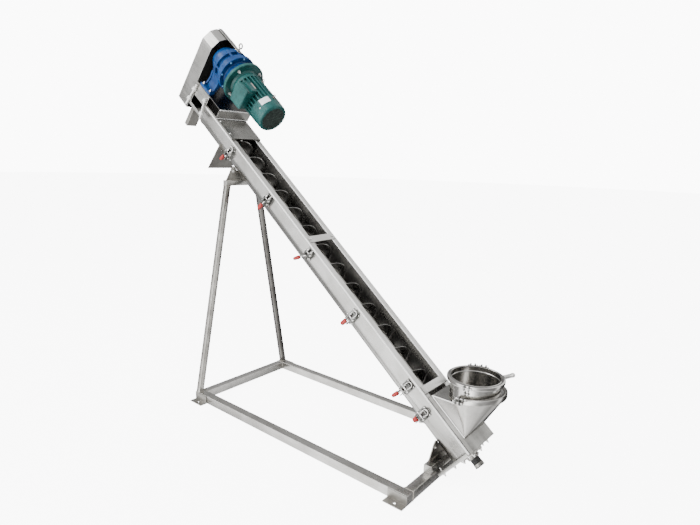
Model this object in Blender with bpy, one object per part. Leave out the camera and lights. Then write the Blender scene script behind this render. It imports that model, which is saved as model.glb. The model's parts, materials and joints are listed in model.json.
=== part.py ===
"""Inclined stainless screw conveyor with an A-frame, a low round hopper and a chain drive at the head.

World axes: +Z up, +Y away from the clamp side, +X from the raised head down to the hopper.
Trough axes: local X climbs along the trough, local Y points at the clamp side, local Z leaves its open top.
Drawing axes: the world's, with their origin at the floor frame's rear near corner.
All lengths are in metres.
"""
import math

import bmesh
import bpy
from mathutils import Matrix, Vector

# base frame
BASE_LENGTH = 1.927
BASE_WIDTH = 0.911
BASE_TUBE = 0.060
FOOT_LENGTH = 0.130
FOOT_REACH = 0.055
FOOT_PLATE = 0.006
FOOT_HOLE_RADIUS = 0.008

# rear A-frame
LEG_TUBE = 0.040
LEG_INSET_TOP = 0.287
CROSSBAR_BOTTOM = 1.6175

# saddle plates under the trough, and the short tube under the front one
SADDLE_THICKNESS = 0.008
SADDLE_HEIGHT = 0.105
SADDLE_BOTTOM_HALF = 0.157
SADDLE_TOP_HALF = 0.090
SADDLE_SHOULDER_HALF = 0.108
SADDLE_SHOULDER_DROP = 0.018
CRADLE_HALF = 0.074
CRADLE_GAP = 0.00045
CRADLE_EDGE = 0.002
FRONT_BLOCK_TUBE = 0.052
FRONT_BLOCK_HALF = 0.198
FRONT_BLOCK_INSET = 0.007
SADDLE_FRONT_SHIFT = 0.008

# trough, in trough axes; each of its sections ends at the place given
INCLINE = math.radians(39.65)
FLANGE_HEIGHT_AT_FRONT = 0.4094
TROUGH_LOW = -0.250
TROUGH_HIGH = 2.860
TROUGH_SECTIONS = {"feed": 0.300, "lower": 1.000, "middle": 1.700, "upper": 2.450, "head": TROUGH_HIGH}
INNER_HALF = 0.0955
SHEET = 0.003
FLANGE_HALF = 0.142
FLANGE_LIP = 0.012
ROUND_DEPTH = 0.1155
OUTLET_LOW = 2.590
OUTLET_HIGH = 2.790
OUTLET_HALF = 0.060
OUTLET_CUT_TOP = -0.150
OUTLET_CUT_BOTTOM = -0.250
END_PLATE = 0.006
END_PLATE_BOTTOM = -0.276
SHAFT_CLEARANCE = 0.003

# covers and fittings on the trough
COVER_SHEET = 0.002
COVER_LOW = 2.420
COVER_HEIGHT = 0.014
COVER_HALF = 0.139
TIE_LOW = 1.378
TIE_HIGH = 1.432
TIE_HALF = 0.122
TIE_TOP = 0.005
LIP_SEAT = 0.0005
LIP_LOW = 0.150
LIP_HIGH = 0.203
LIP_HALF = 0.125
LIP_SHEET = 0.0035
LIP_HEIGHT = 0.022
BAFFLE_PLACE = 2.530
BAFFLE_SHEET = 0.004
BAFFLE_HALF = 0.115
BAFFLE_SHOULDER = -0.130
BAFFLE_BOTTOM = -0.373
BAFFLE_GAP = 0.0005

# screw
SCREW_DEPTH = 0.0955
FLIGHT_RADIUS = 0.085
FLIGHT_PITCH = 0.177
FLIGHT_SHEET = 0.004
FLIGHT_LOW = -0.205
FLIGHT_HIGH = 2.740
FLIGHT_CREST = 1.180
PIPE_RADIUS = 0.027
PIPE_END_GAP = 0.006
JOURNAL_RADIUS = 0.017
JOURNAL_REACH = 0.062
JOURNAL_HIGH = 3.145

# bearings
BEARING_SQUARE = 0.118
BEARING_FLANGE = 0.014
BEARING_BOSS = 0.040
BEARING_BOSS_TIP = 0.036
BEARING_DEPTH = 0.034
CAP_RADIUS = 0.029
CAP_REACH = 0.074
BORE_GAP = 0.0008
BORE_REACH = 0.060

# drive stand, in trough axes
STAND_FRONT = 2.641
STAND_BACK = 2.992
STAND_TOP = 0.096
STAND_SKIRT = 0.015
STAND_SHEET = 0.006
STAND_HALF = 0.152
STAND_SIDE = 0.005
SIDE_LOW = 2.800
SIDE_BOTTOM = -0.105
WINDOW_LOW = 2.818
WINDOW_HIGH = 2.972
WINDOW_BOTTOM = -0.082
WINDOW_TOP = -0.012

# chain guard, its strap and the shoe under it
GUARD_FRONT = 3.029
GUARD_BACK = 3.165
GUARD_RADIUS = 0.116
GUARD_TOP_CENTRE = 0.332
GUARD_BOTTOM = -0.178
GUARD_SHEET = 0.003
STRAP_HALF = 0.016
STRAP_SHEET = 0.004
STRAP_LOW = 2.862
SHOE_FRONT = 3.022
SHOE_HALF = 0.046
SHOE_BOTTOM = -0.354
SHOE_LENGTH = 0.038

# gear motor on the axis above the trough; a profile holds pairs of place along and radius
DRIVE_HEIGHT = 0.308
REDUCER_BACK = 3.008
REDUCER_PROFILE = [(2.7165, 0.128), (2.780, 0.128), (2.794, 0.150), (2.826, 0.150), (2.826, 0.138),
                   (2.836, 0.136), (2.842, 0.1396), (2.895, 0.1396), (2.900, 0.130), (2.955, 0.117),
                   (2.968, 0.098), (REDUCER_BACK, 0.092)]
FEET_LOW = 2.810
FEET_HIGH = 2.950
FEET_HALF = 0.153
FEET_THICKNESS = 0.020
FEET_WEB_HALF = 0.118
FEET_WEB_HEIGHT = 0.030
FEET_NECK_HALF = 0.104
FEET_NECK_HEIGHT = 0.140
ARCH_HALF = 0.060
ARCH_HEIGHT = 0.090
SHAFT_RADIUS = 0.024
SHAFT_HIGH = 3.120
ADAPTER_PROFILE = [(2.690, 0.161), (2.716, 0.161)]
MOTOR_PROFILE = [(2.4005, 0.113), (2.655, 0.113), (2.662, 0.128), (2.6895, 0.132)]
COWL_PROFILE = [(2.284, 0.098), (2.290, 0.107), (2.305, 0.111), (2.400, 0.114)]
BOX_LOW = (2.458, 0.1135, 0.234)
BOX_HIGH = (2.590, 0.170, 0.402)

# hopper, in drawing axes; its neck's foot and the lid under it in trough axes
HOPPER_X = 2.059
HOPPER_TUBE_RADIUS = 0.1415
HOPPER_SHEET = 0.003
HOPPER_TOP = 0.656
RING_RADIUS = 0.165
RING_HEIGHT = 0.024
RING_EDGE = 0.004
BAND_RADIUS = 0.181
BAND_HEIGHT = 0.039
DECK_REAR = 1.853
DECK_REAR_HEIGHT = 0.515
DECK_REAR_HALF = 0.128
DECK_SLOPE = 0.109
DECK_RADIUS = 0.168
DECK_ARC_HALF = math.radians(102)
NECK_LOW = -0.172
NECK_HIGH = 0.121
NECK_HALF = 0.127
LID_LOW = -0.254
LID_HIGH = 0.124
LID_HEIGHT = 0.030
LID_HALF = 0.135
LID_MOUTH_MARGIN = 0.008
LEVER_ANGLE = math.radians(48)
LEVER_START = 0.1677
LEVER_HEIGHT = 0.640
LEVER_RADIUS = 0.014
LEVER_TIP_RADIUS = 0.0098
LEVER_LENGTH = 0.069
LEVER_TIP = 0.005
LEVER_RISE = 0.22

# seams, and how finely round shapes are divided
GAP = 0.0003
CUT_MARGIN = 0.010
ROUND_STEPS = 24
TURN_STEPS = 18
HOLE_STEPS = 16
LEVER_STEPS = 12
NECK_SIDE_STEPS = 4
NECK_REAR_STEPS = 8
CREASE = math.radians(35)

# The floor centre of the whole machine lies at the world origin.
SHIFT_X = -0.792523
SHIFT_Y = -BASE_WIDTH / 2
MIDDLE_Y = BASE_WIDTH / 2

# finishes: colour, metallic value and roughness
SHEET_STEEL = ((0.74, 0.74, 0.72), 1.0, 0.32)
TUBE_STEEL = ((0.68, 0.68, 0.66), 1.0, 0.36)
PLATE_STEEL = ((0.58, 0.57, 0.54), 1.0, 0.40)
SCREW_STEEL = ((0.50, 0.49, 0.47), 1.0, 0.36)
CAST_STEEL = ((0.55, 0.54, 0.52), 1.0, 0.42)
BRIGHT_STEEL = ((0.80, 0.80, 0.78), 1.0, 0.22)
BLUE_PAINT = ((0.02, 0.12, 0.42), 0.0, 0.35)
GREEN_PAINT = ((0.03, 0.17, 0.15), 0.0, 0.38)


def clear_scene():
    """Remove what the start-up file holds."""
    for item in list(bpy.data.objects):
        bpy.data.objects.remove(item, do_unlink=True)


def make_material(name, finish):
    """Principled material of one sub-part."""
    colour, metallic, roughness = finish
    material = bpy.data.materials.new(name + "_finish")
    material.use_nodes = True
    shader = material.node_tree.nodes["Principled BSDF"]
    shader.inputs["Base Color"].default_value = (*colour, 1.0)
    shader.inputs["Metallic"].default_value = metallic
    shader.inputs["Roughness"].default_value = roughness
    return material


def drawing_frame():
    """Matrix from drawing axes to the world."""
    return Matrix.Translation((SHIFT_X, SHIFT_Y, 0.0))


def trough_frame():
    """Matrix from trough axes to the world."""
    start = Vector((BASE_LENGTH, MIDDLE_Y, FLANGE_HEIGHT_AT_FRONT))
    turn = Matrix.Rotation(math.pi, 4, "Z") @ Matrix.Rotation(-INCLINE, 4, "Y")
    return drawing_frame() @ Matrix.Translation(start) @ turn


def add_object(name, bm, frame, finish):
    """Turn a bmesh into a named object placed by its frame, with a material of its own."""
    bmesh.ops.remove_doubles(bm, verts=bm.verts, dist=1e-6)
    bmesh.ops.recalc_face_normals(bm, faces=bm.faces)
    mesh = bpy.data.meshes.new(name)
    bm.to_mesh(mesh)
    bm.free()
    item = bpy.data.objects.new(name, mesh)
    bpy.context.scene.collection.objects.link(item)
    item.matrix_world = frame
    mesh.materials.append(make_material(name, finish))
    return item


def add_box(name, low, high, frame, finish):
    """Box between two opposite corners."""
    bm = bmesh.new()
    size = Vector(high) - Vector(low)
    middle = (Vector(high) + Vector(low)) / 2
    bmesh.ops.create_cube(bm, size=1.0, matrix=Matrix.Translation(middle) @ Matrix.Diagonal((*size, 1.0)))
    return add_object(name, bm, frame, finish)


def add_prism(name, outline, axis, low, high, frame, finish):
    """Push a flat outline along one axis.

    The outline holds pairs in the two other axes, in their cyclic order: y z for x, z x for y, x y for z.
    """
    bm = bmesh.new()
    corners = []
    for first, second in outline:
        point = {"x": (low, first, second), "y": (second, low, first), "z": (first, second, low)}[axis]
        corners.append(bm.verts.new(point))
    face = bm.faces.new(corners)
    step = {"x": Vector((1, 0, 0)), "y": Vector((0, 1, 0)), "z": Vector((0, 0, 1))}[axis] * (high - low)
    grown = bmesh.ops.extrude_face_region(bm, geom=[face])
    moved = [part for part in grown["geom"] if isinstance(part, bmesh.types.BMVert)]
    bmesh.ops.translate(bm, verts=moved, vec=step)
    return add_object(name, bm, frame, finish)


def skin(bm, sections, closed):
    """Join neighbouring sections with quads: into a loop if closed, else with a cap at each end."""
    steps = len(sections[0])
    following = sections[1:] + sections[:1] if closed else sections[1:]
    for first, second in zip(sections, following):
        for k in range(steps):
            bm.faces.new((first[k], first[(k + 1) % steps], second[(k + 1) % steps], second[k]))
    if not closed:
        bm.faces.new(sections[0])
        bm.faces.new(sections[-1])


def add_turned(name, profile, centre, direction, frame, finish, steps=ROUND_STEPS):
    """Turn a profile round a line through its centre; flat discs close both ends."""
    bm = bmesh.new()
    forward = Vector(direction).normalized()
    side = forward.orthogonal().normalized()
    sections = []
    for along, radius in profile:
        ring = []
        for k in range(steps):
            turn = Matrix.Rotation(2 * math.pi * k / steps, 3, forward)
            ring.append(bm.verts.new(Vector(centre) + forward * along + turn @ (side * radius)))
        sections.append(ring)
    skin(bm, sections, closed=False)
    return add_object(name, bm, frame, finish)


def arc(height, radius, start, end, steps):
    """Points on an arc round the middle plane at a height, angles in radians."""
    points = []
    for k in range(steps + 1):
        angle = start + (end - start) * k / steps
        points.append((radius * math.cos(angle), height + radius * math.sin(angle)))
    return points


def combine(item, other, operation):
    """Apply an exact Boolean with another body to the item and drop that body."""
    modifier = item.modifiers.new("combine", "BOOLEAN")
    modifier.operation = operation
    modifier.solver = "EXACT"
    modifier.object = other
    bpy.context.view_layer.update()
    graph = bpy.context.evaluated_depsgraph_get()
    mesh = bpy.data.meshes.new_from_object(item.evaluated_get(graph))
    item.modifiers.clear()
    old = item.data
    item.data = mesh
    bpy.data.meshes.remove(old)
    bpy.data.objects.remove(other, do_unlink=True)


def cut(item, cutter):
    """Take the cutter out of the item."""
    combine(item, cutter, "DIFFERENCE")


def join(item, other):
    """Add the other body to the item."""
    combine(item, other, "UNION")


def shade_round_faces():
    """Shade every piece smooth, with edges sharper than the crease angle kept."""
    for item in bpy.data.objects:
        item.data.shade_smooth()
        item.data.set_sharp_from_angle(angle=CREASE)


def build_base():
    """Four floor tubes and four angle feet."""
    frame = drawing_frame()
    length, width, tube = BASE_LENGTH, BASE_WIDTH, BASE_TUBE
    add_box("base_rail_near", (0, 0, 0), (length, tube, tube), frame, TUBE_STEEL)
    add_box("base_rail_far", (0, width - tube, 0), (length, width, tube), frame, TUBE_STEEL)
    for end, low in (("rear", 0.0), ("front", length - tube)):
        add_box("base_cross_" + end, (low, tube + GAP, 0), (low + tube, width - tube - GAP, tube), frame,
                TUBE_STEEL)
    for end, low in (("rear", 0.0), ("front", length - FOOT_LENGTH)):
        add_foot("foot_" + end + "_near", low, -GAP, -1)
        add_foot("foot_" + end + "_far", low, width + GAP, 1)


def add_foot(name, low, wall, sign):
    """Angle foot with one hole, on a rail's outer wall; the sign points away from the rail."""
    frame = drawing_frame()
    section = [(0, 0), (FOOT_REACH, 0), (FOOT_REACH, FOOT_PLATE), (FOOT_PLATE, FOOT_PLATE),
               (FOOT_PLATE, BASE_TUBE), (0, BASE_TUBE)]
    outline = [(wall + sign * out, up) for out, up in section]
    foot = add_prism(name, outline, "x", low, low + FOOT_LENGTH, frame, PLATE_STEEL)
    under = (low + FOOT_LENGTH / 2, wall + sign * FOOT_REACH / 2, -FOOT_PLATE)
    drill = add_turned("drill", [(0, FOOT_HOLE_RADIUS), (3 * FOOT_PLATE, FOOT_HOLE_RADIUS)], under, (0, 0, 1),
                       frame, PLATE_STEEL, HOLE_STEPS)
    cut(foot, drill)


def build_a_frame():
    """Two leaning legs, the bar across their tops and the plate that carries the trough."""
    frame = drawing_frame()
    width, tube, top = BASE_WIDTH, LEG_TUBE, CROSSBAR_BOTTOM
    foot = BASE_TUBE + GAP
    near = [(0, foot), (tube, foot), (LEG_INSET_TOP + tube, top), (LEG_INSET_TOP, top)]
    far = [(width - across, up) for across, up in reversed(near)]
    add_prism("leg_near", near, "x", 0, tube, frame, TUBE_STEEL)
    add_prism("leg_far", far, "x", 0, tube, frame, TUBE_STEEL)
    add_box("leg_crossbar", (0, LEG_INSET_TOP, top + GAP), (tube, width - LEG_INSET_TOP, top + GAP + tube),
            frame, TUBE_STEEL)
    add_saddle("saddle_rear", tube / 2, top + 2 * GAP + tube)


def build_front_support():
    """Short tube on the front floor tube and its saddle plate."""
    bottom = BASE_TUBE + GAP
    top = bottom + FRONT_BLOCK_TUBE
    front = BASE_LENGTH - FRONT_BLOCK_INSET
    back = front - FRONT_BLOCK_TUBE
    add_box("front_block", (back, MIDDLE_Y - FRONT_BLOCK_HALF, bottom),
            (front, MIDDLE_Y + FRONT_BLOCK_HALF, top), drawing_frame(), TUBE_STEEL)
    add_saddle("saddle_front", back + SADDLE_FRONT_SHIFT, top + GAP)


def cradle_outline(x, radius, highest):
    """Where an upright plane at x meets the trough's round bottom, up to the highest point wanted."""
    cosine, sine = math.cos(INCLINE), math.sin(INCLINE)
    climb = (BASE_LENGTH - x - ROUND_DEPTH * sine) / cosine
    centre = FLANGE_HEIGHT_AT_FRONT + climb * sine - ROUND_DEPTH * cosine
    steps = ROUND_STEPS // 2
    points = []
    for k in range(steps + 1):
        across = CRADLE_HALF * (1 - 2 * k / steps)
        up = centre - math.sqrt(radius * radius - across * across) / cosine
        if up < highest:
            points.append((across, up))
    return points


def add_saddle(name, x, bottom):
    """Upright plate cut to cradle the trough."""
    top = bottom + SADDLE_HEIGHT
    half = SADDLE_THICKNESS / 2
    shoulder = top - SADDLE_SHOULDER_DROP
    outline = [(-SADDLE_BOTTOM_HALF, bottom), (SADDLE_BOTTOM_HALF, bottom), (SADDLE_SHOULDER_HALF, shoulder),
               (SADDLE_TOP_HALF, top)]
    outline += cradle_outline(x + half, INNER_HALF + SHEET + CRADLE_GAP, top - CRADLE_EDGE)
    outline += [(-SADDLE_TOP_HALF, top), (-SADDLE_SHOULDER_HALF, shoulder)]
    outline = [(MIDDLE_Y + across, up) for across, up in outline]
    add_prism(name, outline, "x", x - half, x + half, drawing_frame(), PLATE_STEEL)


def round_bottom(radius, start, end):
    """Arc of the trough's round bottom, angles in degrees."""
    return arc(-ROUND_DEPTH, radius, math.radians(start), math.radians(end), ROUND_STEPS)


def trough_outline():
    """Closed section of the folded trough sheet, in trough y and z."""
    inner, edge, lip = INNER_HALF, FLANGE_HALF, FLANGE_LIP
    outer = inner + SHEET
    hem = edge - SHEET
    points = [(-edge, -lip), (-edge, 0.0), (-inner, 0.0)]
    points += round_bottom(inner, 180, 360)
    points += [(inner, 0.0), (edge, 0.0), (edge, -lip), (hem, -lip), (hem, -SHEET), (outer, -SHEET)]
    points += round_bottom(outer, 360, 180)
    points += [(-outer, -SHEET), (-hem, -SHEET), (-hem, -lip)]
    return points


def build_trough():
    """Sections of the trough, the outlet in the last of them and the plates that close the ends."""
    frame = trough_frame()
    low, high, edge = TROUGH_LOW, TROUGH_HIGH, FLANGE_HALF
    sections, start = {}, low
    for name, end in TROUGH_SECTIONS.items():
        sections[name] = add_prism("trough_" + name, trough_outline(), "x", start, end, frame, SHEET_STEEL)
        start = end + GAP
    outlet = add_box("outlet", (OUTLET_LOW, -OUTLET_HALF, OUTLET_CUT_BOTTOM),
                     (OUTLET_HIGH, OUTLET_HALF, OUTLET_CUT_TOP), frame, SHEET_STEEL)
    cut(sections["head"], outlet)
    low_plate = add_box("end_plate_low", (low - GAP - END_PLATE, -edge, END_PLATE_BOTTOM),
                        (low - GAP, edge, 0.0), frame, PLATE_STEEL)
    outer = INNER_HALF + SHEET
    rounded = [(-outer, 0.0)] + round_bottom(outer, 180, 360) + [(outer, 0.0)]
    high_plate = add_prism("end_plate_head", rounded, "x", high + GAP, high + GAP + END_PLATE, frame,
                           PLATE_STEEL)
    hole = JOURNAL_RADIUS + SHAFT_CLEARANCE
    through = [(-2 * CUT_MARGIN, hole), (2 * CUT_MARGIN, hole)]
    for plate, place in ((low_plate, low), (high_plate, high)):
        drill = add_turned("drill", through, (place, 0, -SCREW_DEPTH), (1, 0, 0), frame, PLATE_STEEL)
        cut(plate, drill)


def build_trough_fittings():
    """Head cover, cross strap, the lip behind the hopper and the baffle before the outlet."""
    frame = trough_frame()
    add_cover("cover_upper", COVER_LOW, TROUGH_HIGH, COVER_HEIGHT, COVER_HALF)
    add_box("tie_strap", (TIE_LOW, -TIE_HALF, GAP), (TIE_HIGH, TIE_HALF, TIE_TOP), frame, SHEET_STEEL)
    section = [(LIP_SEAT, LIP_LOW), (LIP_SEAT, LIP_HIGH), (LIP_SEAT + LIP_SHEET, LIP_HIGH),
               (LIP_SEAT + LIP_SHEET, LIP_LOW + LIP_SHEET), (LIP_HEIGHT, LIP_LOW + LIP_SHEET),
               (LIP_HEIGHT, LIP_LOW)]
    add_prism("opening_lip", section, "y", -LIP_HALF, LIP_HALF, frame, SHEET_STEEL)
    reach = INNER_HALF + SHEET + BAFFLE_GAP
    dip = math.degrees(math.asin((-ROUND_DEPTH - BAFFLE_SHOULDER) / reach))
    outline = [(-BAFFLE_HALF, BAFFLE_SHOULDER), (-BAFFLE_HALF, BAFFLE_BOTTOM), (BAFFLE_HALF, BAFFLE_BOTTOM),
               (BAFFLE_HALF, BAFFLE_SHOULDER)]
    outline += round_bottom(reach, -dip, dip - 180)
    add_prism("outlet_baffle", outline, "x", BAFFLE_PLACE - BAFFLE_SHEET / 2, BAFFLE_PLACE + BAFFLE_SHEET / 2,
              frame, PLATE_STEEL)


def add_cover(name, low, high, height, half):
    """Shallow lid with a folded skirt that rests on the trough flanges."""
    frame = trough_frame()
    sheet = COVER_SHEET
    cover = add_box(name, (low, -half, GAP), (high, half, height + GAP), frame, SHEET_STEEL)
    hollow = add_box("hollow", (low + sheet, -half + sheet, -CUT_MARGIN),
                     (high - sheet, half - sheet, height - sheet), frame, SHEET_STEEL)
    cut(cover, hollow)
    return cover


def build_screw():
    """Stepped pipe and the ribbon that winds round it."""
    frame = trough_frame()
    pipe_low, pipe_high = TROUGH_LOW + PIPE_END_GAP, TROUGH_HIGH - PIPE_END_GAP
    profile = [(TROUGH_LOW - JOURNAL_REACH, JOURNAL_RADIUS), (pipe_low, JOURNAL_RADIUS),
               (pipe_low, PIPE_RADIUS), (pipe_high, PIPE_RADIUS), (pipe_high, JOURNAL_RADIUS),
               (JOURNAL_HIGH, JOURNAL_RADIUS)]
    add_turned("screw_pipe", profile, (0, 0, -SCREW_DEPTH), (1, 0, 0), frame, SCREW_STEEL, TURN_STEPS)
    half, inner = FLIGHT_SHEET / 2, PIPE_RADIUS + GAP
    corners = [(-half, inner), (-half, FLIGHT_RADIUS), (half, FLIGHT_RADIUS), (half, inner)]
    steps = int(round((FLIGHT_HIGH - FLIGHT_LOW) / FLIGHT_PITCH * TURN_STEPS))
    start = (FLIGHT_CREST - FLIGHT_LOW) / FLIGHT_PITCH * 2 * math.pi
    bm = bmesh.new()
    sections = []
    for k in range(steps + 1):
        angle = start - 2 * math.pi * k / TURN_STEPS
        along = FLIGHT_LOW + FLIGHT_PITCH * k / TURN_STEPS
        section = []
        for shift, radius in corners:
            place = (along + shift, -radius * math.sin(angle), -SCREW_DEPTH + radius * math.cos(angle))
            section.append(bm.verts.new(place))
        sections.append(section)
    skin(bm, sections, closed=False)
    add_object("screw_flight", bm, frame, SCREW_STEEL)


def build_bearings():
    """Square flange bearings outside both end plates; only the low one has a closed cap."""
    low_face = TROUGH_LOW - 2 * GAP - END_PLATE
    high_face = TROUGH_HIGH + 2 * GAP + END_PLATE
    low_bearing = add_bearing("bearing_low", low_face, -1)
    cap = add_turned("cap", [(-BEARING_FLANGE / 2, CAP_RADIUS), (-CAP_REACH, CAP_RADIUS)],
                     (low_face, 0, -SCREW_DEPTH), (1, 0, 0), trough_frame(), CAST_STEEL)
    join(low_bearing, cap)
    drill_bearing(low_bearing, low_face)
    drill_bearing(add_bearing("bearing_head", high_face, 1), high_face)


def add_bearing(name, face, sign):
    """Square flange with a turned boss; the sign points away from the trough."""
    frame = trough_frame()
    half = BEARING_SQUARE / 2
    low, high = sorted((face, face + sign * BEARING_FLANGE))
    bearing = add_box(name, (low, -half, -SCREW_DEPTH - half), (high, half, -SCREW_DEPTH + half), frame,
                      CAST_STEEL)
    profile = [(sign * BEARING_FLANGE / 2, BEARING_BOSS), (sign * BEARING_DEPTH, BEARING_BOSS_TIP)]
    boss = add_turned("boss", profile, (face, 0, -SCREW_DEPTH), (1, 0, 0), frame, CAST_STEEL)
    join(bearing, boss)
    return bearing


def drill_bearing(bearing, face):
    """Bore for the screw's journal; in the low bearing it stops inside the cap."""
    bore = JOURNAL_RADIUS + BORE_GAP
    drill = add_turned("drill", [(-BORE_REACH, bore), (BORE_REACH, bore)], (face, 0, -SCREW_DEPTH), (1, 0, 0),
                       trough_frame(), CAST_STEEL, TURN_STEPS)
    cut(bearing, drill)


def guard_outline(half):
    """Outline of the guard in trough y and z: flat bottom, straight sides and a round top."""
    bottom = GUARD_BOTTOM + GUARD_RADIUS - half
    return [(-half, bottom), (half, bottom)] + arc(GUARD_TOP_CENTRE, half, 0, math.pi, ROUND_STEPS // 2)


def build_guard():
    """Deep chain guard that is open towards the motor, its strap to the reducer and the shoe below it."""
    frame = trough_frame()
    sheet = GUARD_SHEET
    guard = add_prism("guard", guard_outline(GUARD_RADIUS), "x", GUARD_FRONT, GUARD_BACK, frame, SHEET_STEEL)
    hollow = add_prism("hollow", guard_outline(GUARD_RADIUS - sheet), "x", GUARD_FRONT - sheet,
                       GUARD_BACK - sheet, frame, SHEET_STEEL)
    cut(guard, hollow)
    crown = GUARD_TOP_CENTRE + GUARD_RADIUS + GAP
    add_box("guard_strap", (STRAP_LOW, -STRAP_HALF, crown),
            (GUARD_BACK, STRAP_HALF, crown + STRAP_SHEET), frame, SHEET_STEEL)
    add_box("guard_shoe", (SHOE_FRONT, -SHOE_HALF, SHOE_BOTTOM),
            (SHOE_FRONT + SHOE_LENGTH, SHOE_HALF, GUARD_BOTTOM - GAP), frame, PLATE_STEEL)


def build_stand():
    """Tray that carries the reducer, and its slotted side plates."""
    frame = trough_frame()
    deck = STAND_TOP - STAND_SHEET
    section = [(STAND_SKIRT, STAND_FRONT), (STAND_TOP, STAND_FRONT), (STAND_TOP, STAND_BACK),
               (deck, STAND_BACK), (deck, STAND_FRONT + STAND_SHEET),
               (STAND_SKIRT, STAND_FRONT + STAND_SHEET)]
    add_prism("drive_stand", section, "y", -STAND_HALF, STAND_HALF, frame, SHEET_STEEL)
    for side, sign in (("near", 1), ("far", -1)):
        walls = sorted((sign * (FLANGE_HALF + GAP), sign * (FLANGE_HALF + GAP + STAND_SIDE)))
        plate = add_box("stand_side_" + side, (SIDE_LOW, walls[0], SIDE_BOTTOM),
                        (STAND_BACK, walls[1], deck - GAP), frame, SHEET_STEEL)
        window = add_box("window", (WINDOW_LOW, walls[0] - CUT_MARGIN, WINDOW_BOTTOM),
                         (WINDOW_HIGH, walls[1] + CUT_MARGIN, WINDOW_TOP), frame, SHEET_STEEL)
        cut(plate, window)


def build_drive():
    """Reducer on its arched feet, output shaft, adapter flange, motor, fan cowl and terminal box."""
    frame = trough_frame()
    axis, forward = (0, 0, DRIVE_HEIGHT), (1, 0, 0)
    seat = STAND_TOP + GAP
    reducer = add_turned("reducer", REDUCER_PROFILE, axis, forward, frame, BLUE_PAINT)
    half = [(FEET_HALF, seat), (FEET_HALF, STAND_TOP + FEET_THICKNESS),
            (FEET_WEB_HALF, STAND_TOP + FEET_WEB_HEIGHT), (FEET_NECK_HALF, STAND_TOP + FEET_NECK_HEIGHT)]
    outline = half + [(-across, up) for across, up in reversed(half)]
    feet = add_prism("feet", outline, "x", FEET_LOW, FEET_HIGH, frame, BLUE_PAINT)
    arch = add_box("arch", (FEET_LOW - CUT_MARGIN, -ARCH_HALF, STAND_TOP - CUT_MARGIN),
                   (FEET_HIGH + CUT_MARGIN, ARCH_HALF, STAND_TOP + ARCH_HEIGHT), frame, BLUE_PAINT)
    cut(feet, arch)
    join(reducer, feet)
    add_turned("drive_shaft", [(REDUCER_BACK + GAP, SHAFT_RADIUS), (SHAFT_HIGH, SHAFT_RADIUS)], axis, forward,
               frame, BRIGHT_STEEL)
    add_turned("adapter_flange", ADAPTER_PROFILE, axis, forward, frame, GREEN_PAINT)
    add_turned("motor", MOTOR_PROFILE, axis, forward, frame, GREEN_PAINT)
    add_turned("fan_cowl", COWL_PROFILE, axis, forward, frame, GREEN_PAINT)
    add_box("terminal_box", BOX_LOW, BOX_HIGH, frame, GREEN_PAINT)


def deck_height(x):
    """Height of the tilted deck at a distance along the drawing's x."""
    return DECK_REAR_HEIGHT + DECK_SLOPE * (x - DECK_REAR)


def deck_wall(angle, radius, lift):
    """Point above the tilted deck on an upright round wall of the hopper."""
    x = HOPPER_X + radius * math.cos(angle)
    return Vector((x, MIDDLE_Y + radius * math.sin(angle), deck_height(x) + lift))


def rim_wall(angle, radius, drop):
    """Point below the level rim on an upright round wall of the hopper."""
    x = HOPPER_X + radius * math.cos(angle)
    return Vector((x, MIDDLE_Y + radius * math.sin(angle), HOPPER_TOP - drop))


def corner_angle():
    """Direction of the deck's rear corner, seen from the tube's axis."""
    return math.atan2(DECK_REAR_HALF, DECK_REAR - HOPPER_X)


def neck_angles():
    """Directions of the neck's points: the round front, the straight sides and the rear edge."""
    front, corner = DECK_ARC_HALF, corner_angle()
    side = [front + (corner - front) * k / NECK_SIDE_STEPS for k in range(1, NECK_SIDE_STEPS + 1)]
    rear = [corner + 2 * (math.pi - corner) * k / NECK_REAR_STEPS for k in range(1, NECK_REAR_STEPS)]
    round_front = [front * (2 * k / ROUND_STEPS - 1) for k in range(ROUND_STEPS + 1)]
    return round_front + side + rear + [2 * math.pi - angle for angle in reversed(side)]


def deck_edge(angle, inset):
    """Point on the deck's outline: an arc in front, tangent sides and a straight rear edge."""
    turn = abs(math.remainder(angle, 2 * math.pi))
    radius = DECK_RADIUS - inset
    reach = radius if turn <= DECK_ARC_HALF else radius / math.cos(turn - DECK_ARC_HALF)
    if turn > math.pi / 2:
        reach = min(reach, (HOPPER_X - DECK_REAR - inset) / -math.cos(turn))
    return deck_wall(angle, reach, -inset)


def neck_foot(angle, inset):
    """Point on the neck's rectangular foot, whose low corners feed the round front."""
    turn = math.remainder(angle, 2 * math.pi)
    size, corner, tiny = abs(turn), corner_angle(), 1e-6
    side = math.copysign(1.0, turn) if size > tiny else 0.0
    low, high, half = NECK_LOW + inset, NECK_HIGH - inset, NECK_HALF - inset
    if size <= DECK_ARC_HALF + tiny:
        along, across = low, half
    elif size <= corner + tiny:
        along, across = low + (high - low) * (size - DECK_ARC_HALF) / (corner - DECK_ARC_HALF), half
    else:
        along, across = high, half * (math.pi - size) / (math.pi - corner)
    return drawing_frame().inverted() @ trough_frame() @ Vector((along, -side * across, LID_HEIGHT + 2 * GAP))


def add_ring_wall(name, outlines):
    """Closed wall through several closed outlines of the hopper."""
    bm = bmesh.new()
    skin(bm, [[bm.verts.new(point) for point in outline] for outline in outlines], closed=True)
    return add_object(name, bm, drawing_frame(), SHEET_STEEL)


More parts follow.
